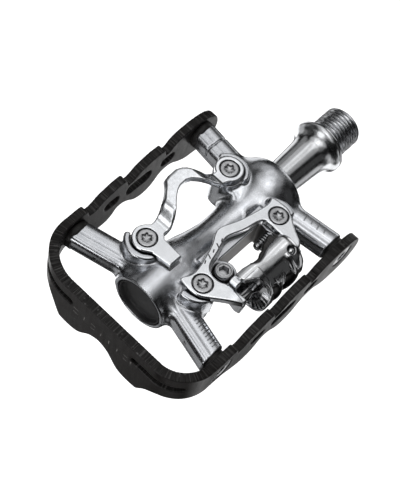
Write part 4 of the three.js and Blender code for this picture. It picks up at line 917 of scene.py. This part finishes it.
def anodised():
    m = Mat("black_anodised_alloy", 0.0, Specular_IOR_Level=0.2)
    grain = m.noise(5200, 3, rough=0.7); big = m.noise(220, 4); scr = m.noise(900, 4, (1, 1, 0.12))
    c = m.mix(m.ramp(big, 0.35, 0.7, 0, 1), (0.0075, 0.0066, 0.0062), (0.0150, 0.0134, 0.0127))
    # paler convex edges from pointiness, broken up by noise: partly edge wear, partly a painted edge highlight
    e = m.calc("MULTIPLY", m.edge(0.535, 0.66), m.ramp(m.noise(1300, 4), 0.35, 0.62, 0.3, 1.0))
    c = m.mix(e, c, (0.13, 0.128, 0.127))
    # sawn top edge: fine cross marks, paler only on faces that point up, a painted highlight
    at = m.add("ShaderNodeAttribute", attribute_name="strip"); mp = m.add("ShaderNodeMapping"); mp.inputs["Scale"].default_value = (1.0, 0.03, 0.0)
    m.link(at.outputs["Vector"], mp.inputs["Vector"])
    cutn = m.add("ShaderNodeTexNoise"); cutn.inputs["Scale"].default_value = 1.25; cutn.inputs["Detail"].default_value = 3.0; cutn.inputs["Roughness"].default_value = 0.75
    m.link(mp.outputs[0], cutn.inputs["Vector"])
    sn = m.add("ShaderNodeSeparateXYZ"); m.link(m.tc.outputs["Normal"], sn.inputs[0])
    top_face_highlight = m.calc("MULTIPLY", m.ramp(sn.outputs[2], 0.45, 0.85, 0, 1), m.ramp(cutn.outputs["Fac"], 0.50, 0.66, 0, 1))
    c = m.mix(top_face_highlight, c, (0.095, 0.092, 0.09))
    r = m.calc("ADD", m.ramp(big, 0.3, 0.7, 0.27, 0.40), m.ramp(scr, 0.4, 0.7, 0, 0.08))
    m.bump(grain, 0.000018); m.bump(scr, 0.00001)
    return m.done(c, r)

def spring_mat():
    m = Mat("oiled_spring_steel", 1.0)
    n = m.noise(900, 4); c = m.mix(m.ramp(n, 0.35, 0.7, 0, 1), (0.20, 0.19, 0.185), (0.42, 0.41, 0.40))
    m.bump(m.noise(3000, 3), 0.000012)
    return m.done(c, m.ramp(n, 0.3, 0.7, 0.22, 0.40))

def soft_mat(name, c0, c1, r0, r1, scale, grain):
    m = Mat(name, 0.0, Specular_IOR_Level=0.4)
    n = m.noise(scale, 4); c = m.mix(m.ramp(n, 0.35, 0.7, 0, 1), c0, c1)
    m.bump(m.noise(scale * 6, 3, rough=0.7), grain)
    return m.done(c, m.ramp(m.noise(scale * 2, 3), 0.3, 0.7, r0, r1))

ALLOY = cast_alloy(); CHROME = chrome(); CLAWM = chrome("chromed_claw", (0.90, 0.91, 0.93), 0.00005, (0.17, 0.23), 0.003)
STEEL = turned("turned_steel", (0.68, 0.69, 0.71), (0.79, 0.80, 0.82), 0.17, 0.23, ring=0.000006)
SCREW = turned("socket_screw_steel", (0.40, 0.405, 0.415), (0.54, 0.545, 0.56), 0.2, 0.3, axis=2, ring=0.000004, dark=(0.0005, 0.45, 1.0, 0.12))
BLACKSCREW = SCREW
# dark finish of the inner cams; on their scalloped lip the darkness is painted shade under the hood's front edge
DARKST = turned('dark_phosphate_steel', (0.035, 0.034, 0.034), (0.075, 0.073, 0.072), 0.24, 0.4)
ANOD = anodised(); SPRING = spring_mat()
TICK = soft_mat('laser_etch_grey', (0.12, 0.115, 0.11), (0.22, 0.21, 0.205), 0.5, 0.65, 2500, 0.000006)
TICK2 = soft_mat('stamped_mark_dark', (0.03, 0.03, 0.032), (0.07, 0.07, 0.075), 0.4, 0.55, 2500, 0.000006)
RUBBER = soft_mat("seal_rubber", (0.012, 0.012, 0.012), (0.022, 0.021, 0.021), 0.55, 0.7, 1200, 0.00002)
CAPM = soft_mat("moulded_cap", (0.032, 0.032, 0.033), (0.042, 0.042, 0.044), 0.38, 0.5, 700, 0.000008)
BRONZE = turned("bearing_bronze", (0.52, 0.34, 0.17), (0.62, 0.42, 0.22), 0.25, 0.4)
BALLS = turned("bearing_steel", (0.60, 0.60, 0.61), (0.72, 0.72, 0.73), 0.06, 0.12, ring=0.0)

def dress(ob, m):
    ob.data.materials.clear(); ob.data.materials.append(m)
for obs, m in (([body] + mark_obs, ALLOY), ([hoop, rear, block], CHROME), ([claw, rivet], CLAWM), ([lobes_ob], DARKST), ([peg], SCREW), ([spindle], STEEL), ([cage] + collar_obs, ANOD), (csc + psc + [tension], SCREW),
               ([pin], BALLS), ([ticks], TICK), ([plate_ticks], TICK2), ([sp1, sp2], SPRING), ([seal], RUBBER), ([cap], CAPM)):
    for o in obs:
        dress(o, m)
by_slot = {"spindle_steel": STEEL, "bearing_steel": BALLS, "bearing_bronze": BRONZE, "body_alloy": ALLOY, "cage_black": ANOD, "plate_chrome": CHROME,
           "screw_steel": SCREW, "spring_steel": SPRING, "seal_rubber": RUBBER, "cap_plastic": CAPM}
left = {"spindle_washer": STEEL, "spindle_lock_nut": STEEL, "bearing_inner_ring": BALLS, "bearing_outer_ring": BALLS, "tension_nut": STEEL, "claw_pivot_clip": SPRING}
for nm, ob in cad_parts.items():
    if ob.type == "MESH":
        dress(ob, left.get(nm, BRONZE if "bushing" in nm or "retainer" in nm else BALLS))

# softboxes round the object: azimuth, elevation, width in metres, watts
FLOOR, WORLD = 1.000, 0.0000
LIGHTS = [(0.0, -48, 0.4, 0.523), (72.0, -48, 0.4, 0.589), (144.0, -48, 0.4, 0.136), (216.0, -48, 0.4, 0.103), (288.0, -48, 0.4, 0.531), (45.0, -20, 0.34, 0.312),
          (90.0, -20, 0.34, 0.145), (135.0, -20, 0.34, 0.137), (270.0, -20, 0.34, 0.139), (315.0, -20, 0.34, 0.18), (0.0, 4, 0.3, 0.243), (90.0, 4, 0.3, 0.035),
          (180.0, 4, 0.3, 0.6), (270.0, 4, 0.3, 0.09), (20.0, 22, 0.32, 0.012), (60.0, 22, 0.32, 0.058), (100.0, 22, 0.32, 0.014), (140.0, 22, 0.32, 0.05),
          (180.0, 22, 0.32, 0.196), (300.0, 22, 0.32, 0.012), (340.0, 22, 0.32, 0.013), (0.0, 42, 0.32, 0.054), (40.0, 42, 0.32, 0.13), (160.0, 42, 0.32, 0.348),
          (25.7, 62, 0.32, 0.188), (77.1, 62, 0.32, 0.116), (128.6, 62, 0.32, 0.074), (180.0, 62, 0.32, 0.101), (231.4, 62, 0.32, 0.105), (282.9, 62, 0.32, 0.036),
          (334.3, 62, 0.32, 0.088), (0.0, 80, 0.3, 0.147), (120.0, 80, 0.3, 0.178), (240.0, 80, 0.3, 0.2)]

# ------------------------------------------------------------------ camera, light, floor
cam_d = bpy.data.cameras.new("camera"); cam = bpy.data.objects.new("camera", cam_d); SC.collection.objects.link(cam)
az, el, roll, D, tx_, ty_, fpx = math.radians(206.15839), math.radians(59.215172), math.radians(19.261411), 349.88277, -14.127360, -12.412862, 1112.16891
back = Vector((math.cos(el) * math.cos(az), math.cos(el) * math.sin(az), math.sin(el)))
rr_ = Vector((0, 0, 1)).cross(back).normalized(); uu_ = back.cross(rr_)
r2 = math.cos(roll) * rr_ + math.sin(roll) * uu_; u2 = -math.sin(roll) * rr_ + math.cos(roll) * uu_
C = Vector((-38, 0, 0)) + tx_ * r2 + ty_ * u2 + D * back
M = Matrix((r2, u2, back)).transposed().to_4x4(); M.translation = C * 0.001
cam.matrix_world = M
cam_d.sensor_width = 36; cam_d.lens = fpx / 500 * 36; cam_d.clip_start = 0.01; cam_d.clip_end = 50
SC.camera = cam
fl = bpy.data.meshes.new("floor"); fl.from_pydata([(-4, -4, 0), (4, -4, 0), (4, 4, 0), (-4, 4, 0)], [], [(0, 1, 2, 3)])
flo = bpy.data.objects.new("floor", fl); flo.location = (0, 0, -0.12); SC.collection.objects.link(flo)
flo.visible_glossy = False; flo.visible_shadow = False      # a lit sweep: white to look at, but not mirrored in the metal
m = bpy.data.materials.new("floor"); m.use_nodes = True
b = m.node_tree.nodes["Principled BSDF"]; b.inputs["Base Color"].default_value = (0.9, 0.9, 0.9, 1); b.inputs["Roughness"].default_value = 0.9
b.inputs["Emission Color"].default_value = (1, 1, 1, 1); b.inputs["Emission Strength"].default_value = FLOOR
fl.materials.append(m)
w = bpy.data.worlds.new("studio"); w.use_nodes = True; SC.world = w
w.node_tree.nodes["Background"].inputs[0].default_value = (1, 1, 1, 1); w.node_tree.nodes["Background"].inputs[1].default_value = WORLD
SC.view_settings.view_transform = "Standard"
def soft(name, az_, el_, dist, size, power):
    l = bpy.data.lights.new(name, "AREA"); l.shape = "DISK"; l.size = size; l.energy = power
    o = bpy.data.objects.new(name, l); SC.collection.objects.link(o)
    a, e = math.radians(az_), math.radians(el_)
    p = Vector((math.cos(e) * math.cos(a), math.cos(e) * math.sin(a), math.sin(e)))
    o.location = p * dist + Vector((-0.045, 0, 0)); o.rotation_mode = "QUATERNION"; o.rotation_quaternion = p.to_track_quat("Z", "Y")
    o.visible_camera = False
    return o
for k, (a_, e_, s_, p_) in enumerate(LIGHTS):
    soft("soft_%02d" % k, a_, e_, 0.6, s_, p_)
